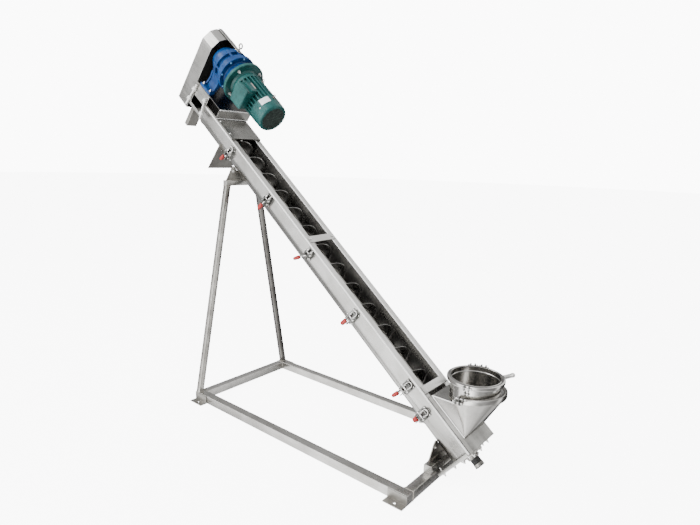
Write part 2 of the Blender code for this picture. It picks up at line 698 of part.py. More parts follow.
def build_hopper():
    """Raised lid on the low end, the flared neck on it and the round tube."""
    frame = trough_frame()
    lid = add_cover("cover_lower", LID_LOW, LID_HIGH, LID_HEIGHT, LID_HALF)
    margin = LID_MOUTH_MARGIN
    mouth = add_box("mouth", (NECK_LOW + margin, -NECK_HALF + margin, LID_HEIGHT / 2),
                    (NECK_HIGH - margin, NECK_HALF - margin, 2 * LID_HEIGHT), frame, SHEET_STEEL)
    cut(lid, mouth)
    angles = neck_angles()
    inner, sheet = HOPPER_TUBE_RADIUS, HOPPER_SHEET
    add_ring_wall("hopper_neck", [[neck_foot(angle, 0.0) for angle in angles],
                                  [deck_edge(angle, 0.0) for angle in angles],
                                  [deck_wall(angle, inner, 0.0) for angle in angles],
                                  [deck_wall(angle, inner, -sheet) for angle in angles],
                                  [deck_edge(angle, sheet) for angle in angles],
                                  [neck_foot(angle, sheet) for angle in angles]])
    outer = inner + sheet
    add_ring_wall("hopper_tube", [[deck_wall(angle, inner, GAP) for angle in angles],
                                  [deck_wall(angle, outer, GAP) for angle in angles],
                                  [rim_wall(angle, outer, 0.0) for angle in angles],
                                  [rim_wall(angle, inner, 0.0) for angle in angles]])


def build_rings():
    """Level band round the rim, the half band on the round front of the deck, and the lever."""
    angles = neck_angles()
    inner, edge = HOPPER_TUBE_RADIUS + HOPPER_SHEET + GAP, RING_EDGE
    section = [(inner, RING_HEIGHT), (RING_RADIUS, RING_HEIGHT), (RING_RADIUS, edge),
               (RING_RADIUS - edge, 0.0), (inner, 0.0)]
    outlines = [[rim_wall(angle, radius, drop) for angle in angles] for radius, drop in section]
    add_ring_wall("ring_upper", outlines)
    section = [(inner, GAP), (BAND_RADIUS, GAP), (BAND_RADIUS, BAND_HEIGHT - edge),
               (BAND_RADIUS - edge, BAND_HEIGHT), (inner, BAND_HEIGHT)]
    bm = bmesh.new()
    rings = []
    for angle in angles[:ROUND_STEPS + 1]:
        rings.append([bm.verts.new(deck_wall(angle, radius, lift)) for radius, lift in section])
    skin(bm, rings, closed=False)
    add_object("ring_lower", bm, drawing_frame(), SHEET_STEEL)
    out = Vector((math.cos(LEVER_ANGLE), math.sin(LEVER_ANGLE), 0.0))
    start = Vector((HOPPER_X, MIDDLE_Y, LEVER_HEIGHT)) + out * LEVER_START
    direction = out + Vector((0, 0, LEVER_RISE))
    profile = [(0.0, LEVER_RADIUS), (LEVER_LENGTH - LEVER_TIP, LEVER_RADIUS),
               (LEVER_LENGTH, LEVER_TIP_RADIUS)]
    add_turned("hopper_lever", profile, start, direction, drawing_frame(), BRIGHT_STEEL, LEVER_STEPS)


def main():
    """Build every piece."""
    clear_scene()
    build_base()
    build_a_frame()
    build_front_support()
    build_trough()
    build_trough_fittings()
    build_screw()
    build_bearings()
    build_guard()
    build_stand()
    build_drive()
    build_hopper()
    build_rings()
    shade_round_faces()


main()
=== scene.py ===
"""Looks of the inclined screw conveyor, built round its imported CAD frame.

Trough axes: the first coordinate climbs along the trough, the second points to the near side, and the
third leaves the trough's open top. Lengths are metres; angles are radians unless a name says degrees.
"""
from __future__ import annotations

import json
import logging
from dataclasses import dataclass, field
from enum import Enum

import bmesh
import bpy
import numpy as np
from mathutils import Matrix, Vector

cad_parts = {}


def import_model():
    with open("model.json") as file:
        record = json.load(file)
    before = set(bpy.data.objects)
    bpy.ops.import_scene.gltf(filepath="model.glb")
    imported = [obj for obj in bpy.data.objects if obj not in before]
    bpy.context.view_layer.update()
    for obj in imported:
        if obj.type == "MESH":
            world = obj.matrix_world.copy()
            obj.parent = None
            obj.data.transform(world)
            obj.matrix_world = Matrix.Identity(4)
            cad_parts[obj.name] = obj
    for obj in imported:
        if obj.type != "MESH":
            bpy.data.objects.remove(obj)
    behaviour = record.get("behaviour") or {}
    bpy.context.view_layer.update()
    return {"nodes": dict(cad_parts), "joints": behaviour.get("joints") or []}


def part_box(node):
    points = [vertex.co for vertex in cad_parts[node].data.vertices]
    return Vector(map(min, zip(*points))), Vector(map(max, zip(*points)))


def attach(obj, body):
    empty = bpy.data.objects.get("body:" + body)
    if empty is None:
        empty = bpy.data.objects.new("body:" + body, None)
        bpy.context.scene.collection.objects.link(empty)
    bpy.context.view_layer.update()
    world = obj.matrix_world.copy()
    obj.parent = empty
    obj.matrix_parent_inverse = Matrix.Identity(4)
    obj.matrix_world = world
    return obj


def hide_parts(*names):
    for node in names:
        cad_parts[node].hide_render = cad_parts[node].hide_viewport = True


LOG = logging.getLogger("conveyor")
Array = np.ndarray
POINT_MERGE = 1e-6
CAD_MERGE = 2e-5
CAD_FLAT_DEGREES = 0.6
INCLINE_DEGREES = 39.65
SCREW_DEPTH = 0.0955
TURN = 2.0 * np.pi


class Body(Enum):
    """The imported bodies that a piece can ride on."""

    CONVEYOR = "conveyor"
    SCREW = "screw"


class Along(Enum):
    """The axis that a profile is pushed along."""

    FIRST = 0
    SECOND = 1
    THIRD = 2


class Side(Enum):
    """The two long sides of the machine, as the sign of the second trough axis."""

    NEAR = 1
    FAR = -1


# Shapes


@dataclass(frozen=True)
class Axes:
    """Axes that shapes are worked out in."""

    origin: Array
    rows: Array

    def place(self, points: Array) -> Array:
        """Carry points to the world: origin plus each coordinate times its axis.

        Args:
            points: Coordinates in these axes, in the last dimension.

        Returns:
            World coordinates of the same shape.
        """
        return self.origin + np.asarray(points, float) @ self.rows

    @staticmethod
    def world() -> Axes:
        """The frame's own axes."""
        return Axes(np.zeros(3), np.eye(3))

    @staticmethod
    def trough(joint: dict) -> Axes:
        """Work out the trough axes from the screw's packed joint.

        Args:
            joint: The joint whose axis climbs along the trough, a screw depth below its open top.

        Returns:
            Axes that start where the joint does, at the open top.
        """
        along = np.array(joint["axis"], float)
        along /= np.linalg.norm(along)
        near = np.array([0.0, -1.0, 0.0])
        out = np.cross(along, near)
        return Axes(np.array(joint["pos_m"], float) + SCREW_DEPTH * out, np.stack((along, near, out)))


@dataclass(frozen=True)
class Patch:
    """A grid of points whose cells become quads."""

    points: Array
    wrap: bool = True
    wrap_rows: bool = False

    def corners(self) -> Array:
        """All points as one list of places."""
        return self.points.reshape(-1, 3)

    def faces(self, first: int) -> list[list[int]]:
        """Number the cells' corners, and the caps at both ends.

        Args:
            first: Index of this patch's first point in the whole mesh.

        Returns:
            One list of point indices for each face.
        """
        rows, columns = self.points.shape[:2]
        index = first + np.arange(rows * columns).reshape(rows, columns)
        low, high = index[0].tolist(), index[-1].tolist()
        if self.wrap_rows:
            index = np.vstack((index, index[:1]))
        if self.wrap:
            index = np.hstack((index, index[:, :1]))
        cells = np.stack((index[:-1, :-1], index[:-1, 1:], index[1:, 1:], index[1:, :-1]), axis=-1)
        faces = cells.reshape(-1, 4).tolist()
        if self.wrap and not self.wrap_rows:
            faces += [low[::-1], high]
        return faces


def unit(vector: Array) -> Array:
    """Vectors scaled to length one along their last dimension."""
    vector = np.asarray(vector, float)
    return vector / np.linalg.norm(vector, axis=-1, keepdims=True)


def circle(count: int, start: float = 0.0) -> Array:
    """Angles evenly spread over one whole turn."""
    return start + TURN * np.arange(count) / count


def spokes(angle: Array) -> Array:
    """Pairs of cosine and sine."""
    return np.stack((np.cos(angle), np.sin(angle)), axis=-1)


def arc(centre: tuple, radius: float, start: float, end: float, count: int) -> Array:
    """Points of an arc: centre plus radius times cosine and sine of the angle.

    Args:
        centre: Middle of the arc.
        radius: Its radius.
        start: First angle in degrees.
        end: Last angle in degrees.
        count: Number of points.

    Returns:
        The points as pairs.
    """
    return np.array(centre) + radius * spokes(np.radians(np.linspace(start, end, count)))


def rectangle(low: tuple, high: tuple) -> Array:
    """Corners of a rectangle in cyclic order, from its low corner."""
    return np.array([low, (high[0], low[1]), high, (low[0], high[1])], float)


def rounded(corners: Array, reach: float | Array, steps: int = 5) -> Array:
    """Round a closed outline: each corner becomes (1-t)^2 a + 2t(1-t) c + t^2 b.

    Args:
        corners: The outline's corners c, as pairs.
        reach: How far a and b lie from c along its two edges, one value or one for each corner.
        steps: Points on each rounded corner.

    Returns:
        The rounded outline as pairs.
    """
    corners = np.asarray(corners, float)
    reach = np.broadcast_to(np.asarray(reach, float), (len(corners),))[:, None]
    before = corners + unit(np.roll(corners, 1, axis=0) - corners) * reach
    after = corners + unit(np.roll(corners, -1, axis=0) - corners) * reach
    t = np.linspace(0.0, 1.0, steps)[None, :, None]
    blend = (1 - t) ** 2 * before[:, None] + 2 * t * (1 - t) * corners[:, None] + t**2 * after[:, None]
    return blend.reshape(-1, 2)


def prism(axes: Axes, outline: Array, along: Along, low: float, high: float) -> Patch:
    """Push a closed outline from low to high along one axis.

    Args:
        axes: Axes that the outline is drawn in.
        outline: Pairs in the two other axes, in cyclic order.
        along: The axis that the outline is pushed along.
        low: Where it starts.
        high: Where it ends.

    Returns:
        A closed patch.
    """
    outline = np.asarray(outline, float)
    points = np.empty((2, len(outline), 3))
    points[:, :, along.value] = np.array([low, high])[:, None]
    points[:, :, (along.value + 1) % 3] = outline[:, 0]
    points[:, :, (along.value + 2) % 3] = outline[:, 1]
    return Patch(axes.place(points))


def block(axes: Axes, low: tuple, high: tuple, along: Along = Along.FIRST, corner: float = 0.0) -> Patch:
    """Box between two corners, its edges along one axis rounded if a corner radius is given.

    Args:
        axes: Axes of the box.
        low: Lowest corner.
        high: Highest corner.
        along: The axis of the rounded edges.
        corner: Radius of those edges.

    Returns:
        A closed patch.
    """
    first, second = (along.value + 1) % 3, (along.value + 2) % 3
    outline = rectangle((low[first], low[second]), (high[first], high[second]))
    if corner > 0:
        outline = rounded(outline, corner)
    return prism(axes, outline, along, low[along.value], high[along.value])


def turned(axes: Axes, profile: Array, centre: tuple, direction: tuple, steps: int = 48) -> Patch:
    """Turn a profile: centre + along * d + radius * (cos(a) * p + sin(a) * q), with p and q across d.

    Args:
        axes: Axes that the rest is given in.
        profile: Pairs of distance along the direction and radius.
        centre: Where the distance along is zero.
        direction: The direction d.
        steps: Number of sides.

    Returns:
        A closed patch.
    """
    along, radius = np.asarray(profile, float).T
    forward = unit(direction)
    helper = np.array([0.0, 0.0, 1.0]) if abs(forward[2]) < 0.9 else np.array([1.0, 0.0, 0.0])
    across = unit(np.cross(helper, forward))
    up = np.cross(forward, across)
    angle = circle(steps)[:, None]
    ring = np.cos(angle) * across + np.sin(angle) * up
    points = np.array(centre) + along[:, None, None] * forward + radius[:, None, None] * ring
    return Patch(axes.place(points))


def carried(axes: Axes, path: Array, section: Array, closed: bool = False,
            swell: Array | None = None) -> Patch:
    """Carry a section along a path: path + swell * (u * side + w * other), across the path's direction.

    Args:
        axes: Axes of the path.
        path: Points of the path.
        section: Closed outline as pairs u and w.
        closed: Whether the path runs back into its start.
        swell: Size of the section at each point of the path.

    Returns:
        A closed patch.
    """
    path = np.asarray(path, float)
    if closed:
        heading = unit(np.roll(path, -1, axis=0) - np.roll(path, 1, axis=0))
    else:
        heading = unit(np.gradient(path, axis=0))
    spread = np.ptp(path, axis=0)
    helper = np.eye(3)[int(np.argmin(spread))]
    side = unit(np.cross(heading, helper))
    other = np.cross(side, heading)
    size = np.ones(len(path)) if swell is None else swell
    offset = section[None, :, :1] * side[:, None] + section[None, :, 1:] * other[:, None]
    return Patch(axes.place(path[:, None] + size[:, None, None] * offset), wrap_rows=closed)


def rod(axes: Axes, path: Array, radius: float, closed: bool = False, sides: int = 10) -> Patch:
    """Round bar along a path."""
    return carried(axes, path, radius * spokes(circle(sides)), closed)


def resampled(path: Array, pitch: float) -> Array:
    """Points spread evenly by length along a path of straight runs.

    Args:
        path: Corners of the path.
        pitch: Distance wanted between points.

    Returns:
        The new points.
    """
    path = np.asarray(path, float)
    length = np.concatenate(([0.0], np.cumsum(np.linalg.norm(np.diff(path, axis=0), axis=1))))
    place = np.linspace(0.0, length[-1], max(3, int(round(length[-1] / pitch)) + 1))
    return np.stack([np.interp(place, length, path[:, k]) for k in range(3)], axis=-1)


@dataclass(frozen=True)
class Weld:
    """Rippled fillet bead: a round section whose size is 1 + depth * sin(2 pi * distance / ripple)."""

    radius: float = 0.0032
    ripple: float = 0.0055
    depth: float = 0.16

    def bead(self, axes: Axes, corners: Array) -> Patch:
        """Lay the bead along straight runs.

        Args:
            axes: Axes of the run.
            corners: Corners of the run.

        Returns:
            A closed patch.
        """
        pitch = self.ripple / 4
        path = resampled(corners, pitch)
        swell = 1 + self.depth * np.sin(TURN * np.arange(len(path)) * pitch / self.ripple)
        return carried(axes, path, self.radius * spokes(circle(8)), swell=swell)


@dataclass(frozen=True)
class Fastener:
    """Hexagon head with its washer, and a bit of thread when a stud length is given."""

    hexagon: float = 0.0085
    height: float = 0.007
    washer: float = 0.0115
    washer_height: float = 0.0018
    stud: float = 0.0
    stud_radius: float = 0.0045

    def at(self, axes: Axes, centre: tuple, direction: tuple) -> list[Patch]:
        """Set one on a face.

        Args:
            axes: Axes of the face.
            centre: Point on the face.
            direction: The face's outward direction.

        Returns:
            Patches of the washer, the head and the stud.
        """
        top = self.washer_height + self.height
        chamfer = 0.15 * self.hexagon
        head = [(self.washer_height, self.hexagon), (top - chamfer, self.hexagon),
                (top, self.hexagon - chamfer)]
        patches = [
            turned(axes, [(0.0, self.washer), (self.washer_height, self.washer)], centre, direction, 20),
            turned(axes, head, centre, direction, 6),
        ]
        if self.stud > 0:
            patches.append(thread(axes, centre, direction, self.stud_radius, top - 0.001, top + self.stud))
        return patches


def thread(axes: Axes, centre: tuple, direction: tuple, radius: float, low: float, high: float,
           pitch: float = 0.0022) -> Patch:
    """Threaded bar: radius minus a shallow saw-tooth along its length.

    Args:
        axes: Axes of the bar.
        centre: Where the distance along is zero.
        direction: Direction of the bar.
        radius: Radius over the thread.
        low: Where it starts.
        high: Where it ends.
        pitch: Distance between threads.

    Returns:
        A closed patch.
    """
    count = max(2, int((high - low) / pitch))
    along = np.linspace(low, high, 2 * count + 1)
    depth = np.where(np.arange(2 * count + 1) % 2 == 0, 0.10 * radius, 0.0)
    return turned(axes, np.stack((along, radius - depth), axis=-1), centre, direction, 14)


# Finishes


class Nodes:
    """A node tree that is laid down one node at a time."""

    def __init__(self, tree: bpy.types.NodeTree) -> None:
        """Work on a tree."""
        self.tree = tree

    def node(self, kind: str, inputs: dict, **settings: object) -> bpy.types.Node:
        """Add a node.

        Args:
            kind: Blender's name for the node.
            inputs: Socket name or number to a value or to another node's output.
            settings: Plain settings of the node.

        Returns:
            The node.
        """
        node = self.tree.nodes.new(kind)
        for name, value in settings.items():
            setattr(node, name, value)
        for key, value in inputs.items():
            if isinstance(value, bpy.types.NodeSocket):
                self.tree.links.new(value, node.inputs[key])
            else:
                node.inputs[key].default_value = value
        return node

    def math(self, operation: str, first: object, second: object = 0.0) -> bpy.types.NodeSocket:
        """One sum, product or other function of two values."""
        return self.node("ShaderNodeMath", {0: first, 1: second}, operation=operation).outputs["Value"]

    def ramp(self, share: bpy.types.NodeSocket, stops: tuple) -> bpy.types.NodeSocket:
        """Straight lines between stops of a share and a value, both from 0 to 1.

        Args:
            share: Where to read the lines.
            stops: Pairs of share and value, in order.

        Returns:
            The value.
        """
        node = self.node("ShaderNodeValToRGB", {"Fac": share})
        elements = node.color_ramp.elements
        elements.remove(elements[1])
        for k, (at, value) in enumerate(stops):
            element = elements[0] if k == 0 else elements.new(at)
            element.position = at
            element.color = (value, value, value, 1.0)
        return node.outputs["Color"]

    def noise(self, where: bpy.types.NodeSocket, scale: float, detail: float = 4.0,
              rough: float = 0.55) -> bpy.types.NodeSocket:
        """Fractal noise between 0 and 1."""
        inputs = {"Vector": where, "Scale": scale, "Detail": detail, "Roughness": rough}
        return self.node("ShaderNodeTexNoise", inputs).outputs["Fac"]

    def span(self, value: bpy.types.NodeSocket, source: tuple, target: tuple,
             kind: str = "LINEAR") -> bpy.types.NodeSocket:
        """Stretch one range of values over another, clamped."""
        inputs = {"Value": value, "From Min": source[0], "From Max": source[1], "To Min": target[0],
                  "To Max": target[1]}
        return self.node("ShaderNodeMapRange", inputs, interpolation_type=kind).outputs["Result"]

    def mixed(self, share: bpy.types.NodeSocket, low: object, high: object) -> bpy.types.NodeSocket:
        """Blend two colours by a share."""
        node = self.node("ShaderNodeMix", {}, data_type="RGBA")
        self.tree.links.new(share, node.inputs["Factor"])
        for socket, value in ((node.inputs[6], low), (node.inputs[7], high)):
            if isinstance(value, bpy.types.NodeSocket):
                self.tree.links.new(value, socket)
            else:
                socket.default_value = (*value, 1.0)
        return node.outputs[2]

    def bump(self, height: bpy.types.NodeSocket, distance: float,
             under: bpy.types.NodeSocket | None = None) -> bpy.types.NodeSocket:
        """Bump a surface by a height, on top of an earlier bump if there is one."""
        inputs: dict = {"Height": height, "Distance": distance, "Strength": 1.0}
        if under is not None:
            inputs["Normal"] = under
        return self.node("ShaderNodeBump", inputs).outputs["Normal"]


class Recipe(Nodes):
    """A material's nodes, laid down one by one round its Principled shader."""

    def __init__(self, name: str) -> None:
        """Start a material that has its own shader and object coordinates."""
        self.material = bpy.data.materials.new(name)
        self.material.use_nodes = True
        super().__init__(self.material.node_tree)
        self.shader = self.tree.nodes["Principled BSDF"]
        self.place = self.tree.nodes.new("ShaderNodeTexCoord").outputs["Object"]

    def stretched(self, size: tuple, turn_degrees: float = 0.0) -> bpy.types.NodeSocket:
        """Object coordinates turned about Y, then divided by a size for each axis."""
        inputs = {"Vector": self.place, "Rotation": (0.0, np.radians(turn_degrees), 0.0), "Scale": size}
        return self.node("ShaderNodeMapping", inputs, vector_type="TEXTURE").outputs["Vector"]

    def finish(self, colour: bpy.types.NodeSocket, rough: bpy.types.NodeSocket,
               normal: bpy.types.NodeSocket) -> bpy.types.Material:
        """Join colour, roughness and normal to the shader and hand over the material."""
        self.tree.links.new(colour, self.shader.inputs["Base Color"])
        self.tree.links.new(rough, self.shader.inputs["Roughness"])
        self.tree.links.new(normal, self.shader.inputs["Normal"])
        return self.material


@dataclass(frozen=True)
class SteelFinish:
    """Satin stainless steel: brushed grain, faint clouds of wear and slightly wavy sheet."""

    name: str
    light: tuple = (0.52, 0.515, 0.50)
    dull: tuple = (0.38, 0.375, 0.355)
    rough: float = 0.25
    grain: tuple = (0.25, 0.004, 0.004)
    turn_degrees: float = 0.0
    grain_depth: float = 0.00012
    wave_depth: float = 0.0016
    slot: str | None = "stainless_steel"

    def make(self) -> bpy.types.Material:
        """Build the material's nodes."""
        recipe = Recipe(self.name)
        recipe.shader.inputs["Metallic"].default_value = 1.0
        streak = recipe.noise(recipe.stretched(self.grain, self.turn_degrees), 1.0, 6.0, 0.7)
        cloud = recipe.noise(recipe.place, 5.0, 5.0, 0.6)
        smear = recipe.noise(recipe.stretched((0.30, 0.06, 0.06), self.turn_degrees), 1.0, 5.0, 0.65)
        speck = recipe.noise(recipe.place, 160.0, 2.0)
        tone = recipe.mixed(recipe.span(cloud, (0.38, 0.64), (0.0, 1.0)), self.dull, self.light)
        worn = recipe.mixed(recipe.span(smear, (0.52, 0.72), (0.0, 0.55)), tone, self.dull)
        lined = recipe.mixed(recipe.span(streak, (0.30, 0.70), (0.0, 0.35)), worn, self.light)
        rough = recipe.span(smear, (0.30, 0.70), (self.rough - 0.05, self.rough + 0.12))
        wave = recipe.bump(recipe.noise(recipe.place, 3.2, 1.0), self.wave_depth)
        grain = recipe.bump(streak, self.grain_depth, wave)
        return recipe.finish(lined, rough, recipe.bump(speck, 0.00003, grain))


@dataclass(frozen=True)
class EnamelFinish:
    """Glossy machine enamel over cast iron: orange peel, faded patches and patches of grime."""

    name: str
    fresh: tuple
    faded: tuple
    grime: tuple = (0.012, 0.014, 0.014)
    rough: float = 0.30
    coat: float = 0.10
    specular: float = 0.25
    slot: str | None = None

    def make(self) -> bpy.types.Material:
        """Build the material's nodes."""
        recipe = Recipe(self.name)
        recipe.shader.inputs["Coat Weight"].default_value = self.coat
        recipe.shader.inputs["Coat Roughness"].default_value = 0.16
        recipe.shader.inputs["Specular IOR Level"].default_value = self.specular
        cloud = recipe.noise(recipe.place, 14.0, 5.0, 0.6)
        dirt = recipe.noise(recipe.place, 34.0, 7.0, 0.7)
        peel = recipe.noise(recipe.place, 380.0, 2.0)
        cast = recipe.noise(recipe.place, 45.0, 3.0)
        tone = recipe.mixed(recipe.span(cloud, (0.40, 0.66), (0.0, 1.0)), self.fresh, self.faded)
        stained = recipe.mixed(recipe.span(dirt, (0.58, 0.74), (0.0, 0.55)), tone, self.grime)
        rough = recipe.span(dirt, (0.35, 0.70), (self.rough - 0.04, self.rough + 0.22))
        skin = recipe.bump(cast, 0.0007)
        return recipe.finish(stained, rough, recipe.bump(peel, 0.00010, skin))


@dataclass(frozen=True)
class PlasticFinish:
    """Moulded or plain painted surface: a little mottle, fine grain and uneven gloss."""

    name: str
    light: tuple
    dark: tuple
    rough: float = 0.45
    depth: float = 0.00015
    slot: str | None = None

    def make(self) -> bpy.types.Material:
        """Build the material's nodes."""
        recipe = Recipe(self.name)
        mottle = recipe.noise(recipe.place, 60.0, 4.0, 0.6)
        fine = recipe.noise(recipe.place, 700.0, 2.0)
        tone = recipe.mixed(recipe.span(mottle, (0.35, 0.68), (0.0, 1.0)), self.light, self.dark)
        rough = recipe.span(mottle, (0.3, 0.7), (self.rough - 0.07, self.rough + 0.10))
        return recipe.finish(tone, rough, recipe.bump(fine, self.depth))


Finish = SteelFinish | EnamelFinish | PlasticFinish


@dataclass(frozen=True)
class Finishes:
    """Every finish on the machine."""

    sheet: Finish = SteelFinish("satin_sheet", turn_degrees=INCLINE_DEGREES)
    tube: Finish = SteelFinish("frame_tube", light=(0.54, 0.53, 0.51), dull=(0.37, 0.36, 0.34), rough=0.24,
                               wave_depth=0.0008)
    leg: Finish = SteelFinish("leg_tube", light=(0.46, 0.45, 0.42), dull=(0.22, 0.21, 0.195), rough=0.18,
                              grain=(0.006, 0.006, 0.40), wave_depth=0.0008)
    # Darker copy of the leg tube's steel, for the far leg: painted shade.
    shaded_leg: Finish = SteelFinish("shaded_leg_tube", light=(0.17, 0.165, 0.155), dull=(0.075, 0.07, 0.066),
                                     rough=0.20, grain=(0.006, 0.006, 0.40), wave_depth=0.0008)
    # Much darker than the trough's sheet steel: painted shade from the motor above the covers.
    cover: Finish = SteelFinish("painted_shade_cover", light=(0.29, 0.285, 0.27), dull=(0.13, 0.128, 0.12),
                                rough=0.24, grain=(0.004, 0.25, 0.004), turn_degrees=INCLINE_DEGREES)
    clamp: Finish = SteelFinish("clamp_plate", light=(0.30, 0.30, 0.29), dull=(0.04, 0.04, 0.038), rough=0.25,
                                grain=(0.01, 0.01, 0.01), grain_depth=0.0004, wave_depth=0.0004)
    # Near-black steel for the tray's deck under the motor: painted shadow.
    deck: Finish = SteelFinish("shaded_deck", light=(0.18, 0.175, 0.17), dull=(0.05, 0.05, 0.048), rough=0.20)
    plate: Finish = SteelFinish("mill_plate", light=(0.36, 0.35, 0.325), dull=(0.22, 0.21, 0.195), rough=0.38,
                                grain=(0.02, 0.02, 0.02), grain_depth=0.0002)
    spun: Finish = SteelFinish("spun_hopper", light=(0.54, 0.53, 0.51), dull=(0.40, 0.39, 0.37), rough=0.15,
                               grain=(0.06, 0.06, 0.003), wave_depth=0.0012)
    # Darker than the sheet steel of the rest of the machine: painted shade inside the trough.
    auger: Finish = SteelFinish("painted_shade_screw_steel", light=(0.30, 0.295, 0.28), dull=(0.12, 0.115, 0.11),
                                rough=0.26, grain=(0.02, 0.004, 0.02), turn_degrees=INCLINE_DEGREES,
                                wave_depth=0.0005)
    # Near-white beads on folds, edges and nuts that face the light: painted highlight.
    painted_highlight: Finish = PlasticFinish("painted_highlight_fold", (0.93, 0.925, 0.91), (0.86, 0.855, 0.84), rough=0.30,
                                 slot="stainless_steel")
    bright: Finish = SteelFinish("bright_hardware", light=(0.80, 0.79, 0.77), dull=(0.58, 0.57, 0.55),
                                 rough=0.20, grain=(0.01, 0.01, 0.01), grain_depth=0.00006, wave_depth=0.0002)
    cast: Finish = SteelFinish("bearing_casting", light=(0.34, 0.33, 0.31), dull=(0.07, 0.068, 0.064),
                               rough=0.20, grain=(0.012, 0.012, 0.012), grain_depth=0.0004, wave_depth=0.0006)
    weld: Finish = SteelFinish("weld_metal", light=(0.52, 0.50, 0.46), dull=(0.26, 0.24, 0.21), rough=0.36,
                               grain=(0.01, 0.01, 0.01), grain_depth=0.0002, wave_depth=0.0002)
    blue: Finish = EnamelFinish("blue_enamel", (0.0003, 0.030, 0.125), (0.001, 0.052, 0.19),
                                slot="blue_paint")
    green: Finish = EnamelFinish("green_enamel", (0.006, 0.060, 0.057), (0.014, 0.090, 0.086),
                                 slot="green_paint")
    grip: Finish = PlasticFinish("red_grip", (0.38, 0.018, 0.014), (0.25, 0.011, 0.009), rough=0.42)
    # Paler blue for the reducer's flange bolts: painted highlight on their heads.
    pale_blue: Finish = EnamelFinish("highlight_blue_enamel", (0.05, 0.20, 0.42), (0.16, 0.34, 0.55),
                                     slot="blue_paint")
    grille: Finish = PlasticFinish("dark_grille", (0.012, 0.022, 0.019), (0.03, 0.05, 0.042), rough=0.5)
    label: Finish = PlasticFinish("bare_label", (0.84, 0.88, 0.90), (0.74, 0.80, 0.84), rough=0.35)
    nameplate: Finish = PlasticFinish("bare_nameplate", (0.34, 0.29, 0.26), (0.24, 0.205, 0.185), rough=0.4)
    # Black sheet and rings put where there is only shade, inside the guard and on the low bearing's cap:
    # painted shade.
    shade_lining: Finish = PlasticFinish("painted_shade_black", (0.006, 0.006, 0.006), (0.012, 0.012, 0.011), rough=0.6)


# Making pieces


def linked(name: str, data: bpy.types.ID) -> bpy.types.Object:
    """New object of the scene."""
    item = bpy.data.objects.new(name, data)
    bpy.context.scene.collection.objects.link(item)
    return item


def cleaned(mesh: bpy.types.Mesh, merge: float, flat_degrees: float = 0.0) -> None:
    """Merge close points, join flat triangles and turn every face outward.

    Args:
        mesh: The mesh, changed in place.
        merge: Distance under which points merge.
        flat_degrees: Angle under which faces join, or 0 to keep them.
    """
    bm = bmesh.new()
    bm.from_mesh(mesh)
    bmesh.ops.remove_doubles(bm, verts=bm.verts, dist=merge)
    if flat_degrees > 0:
        bmesh.ops.dissolve_limit(bm, angle_limit=np.radians(flat_degrees), verts=bm.verts, edges=bm.edges)
    bmesh.ops.recalc_face_normals(bm, faces=bm.faces)
    bm.to_mesh(mesh)
    bm.free()


def meshed(name: str, patches: list[Patch]) -> bpy.types.Mesh:
    """One clean mesh of several patches."""
    counts = np.cumsum([0] + [len(patch.corners()) for patch in patches])
    corners = np.concatenate([patch.corners() for patch in patches])
    faces = [face for patch, first in zip(patches, counts) for face in patch.faces(int(first))]
    mesh = bpy.data.meshes.new(name)
    mesh.from_pydata(corners.tolist(), [], faces)
    cleaned(mesh, POINT_MERGE)
    return mesh


@dataclass
class Workshop:
    """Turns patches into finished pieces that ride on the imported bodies."""

    nodes: dict
    finishes: Finishes
    smooth_degrees: float = 32.0
    made: dict = field(default_factory=dict)

    def material(self, finish: Finish) -> bpy.types.Material:
        """The finish's material, built the first time that it is asked for."""
        if finish.name not in self.made:
            self.made[finish.name] = finish.make()
        return self.made[finish.name]

    def piece(self, name: str, patches: list[Patch], finish: Finish, body: Body = Body.CONVEYOR,
              replaces: tuple = (), edge: float = 0.0) -> bpy.types.Object:
        """Join patches into one piece.

        Args:
            name: The piece's name.
            patches: Its surfaces, in world coordinates.
            finish: Its finish.
            body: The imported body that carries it.
            replaces: CAD nodes that it stands for.
            edge: Width of its softened edges, or 0.

        Returns:
            The piece.
        """
        return self.dressed(name, meshed(name, patches), finish, body, replaces, edge)

    def refined(self, node: str, finish: Finish, edge: float, body: Body = Body.CONVEYOR) -> bpy.types.Object:
        """Stand a CAD node's copy in its place, its loose triangles joined and its edges softened.

        Args:
            node: The CAD node.
            finish: The finish of the copy.
            edge: Width of the softened edges.
            body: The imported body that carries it.

        Returns:
            The piece.
        """
        mesh = self.nodes[node].data.copy()
        mesh.materials.clear()
        cleaned(mesh, CAD_MERGE, CAD_FLAT_DEGREES)
        return self.dressed(node + "_finished", mesh, finish, body, (node,), edge)

    def dressed(self, name: str, mesh: bpy.types.Mesh, finish: Finish, body: Body, replaces: tuple,
                edge: float) -> bpy.types.Object:
        """Give a mesh its shading, finish, body and soft edges, and report it."""
        mesh.shade_smooth()
        mesh.set_sharp_from_angle(angle=np.radians(self.smooth_degrees))
        mesh.materials.append(self.material(finish))
        item = linked(name, mesh)
        if edge > 0:
            bevel = item.modifiers.new("soft_edge", "BEVEL")
            bevel.width = edge
            bevel.segments = 2
            bevel.limit_method = "ANGLE"
            bevel.angle_limit = np.radians(self.smooth_degrees)
        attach(item, body.value)
        if replaces:
            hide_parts(*replaces)
        LOG.info("%s: %d faces, on %s", name, len(mesh.polygons), body.value)
        return item


def opened(item: bpy.types.Object, patch: Patch) -> None:
    """Cut a closed patch out of a piece for good.

    Args:
        item: The piece.
        patch: The shape of the hole.
    """
    cutter = linked("hole", meshed("hole", [patch]))
    others = [modifier for modifier in item.modifiers if modifier.show_viewport]
    for modifier in others:
        modifier.show_viewport = False
    boolean = item.modifiers.new("hole", "BOOLEAN")
    boolean.object = cutter
    boolean.operation = "DIFFERENCE"
    boolean.solver = "EXACT"
    bpy.context.view_layer.update()
    result = bpy.data.meshes.new_from_object(item.evaluated_get(bpy.context.evaluated_depsgraph_get()))
    item.modifiers.remove(boolean)
    result.name = item.data.name
    item.data = result
    for modifier in others:
        modifier.show_viewport = True
    bpy.data.objects.remove(cutter, do_unlink=True)


# Sub-assemblies


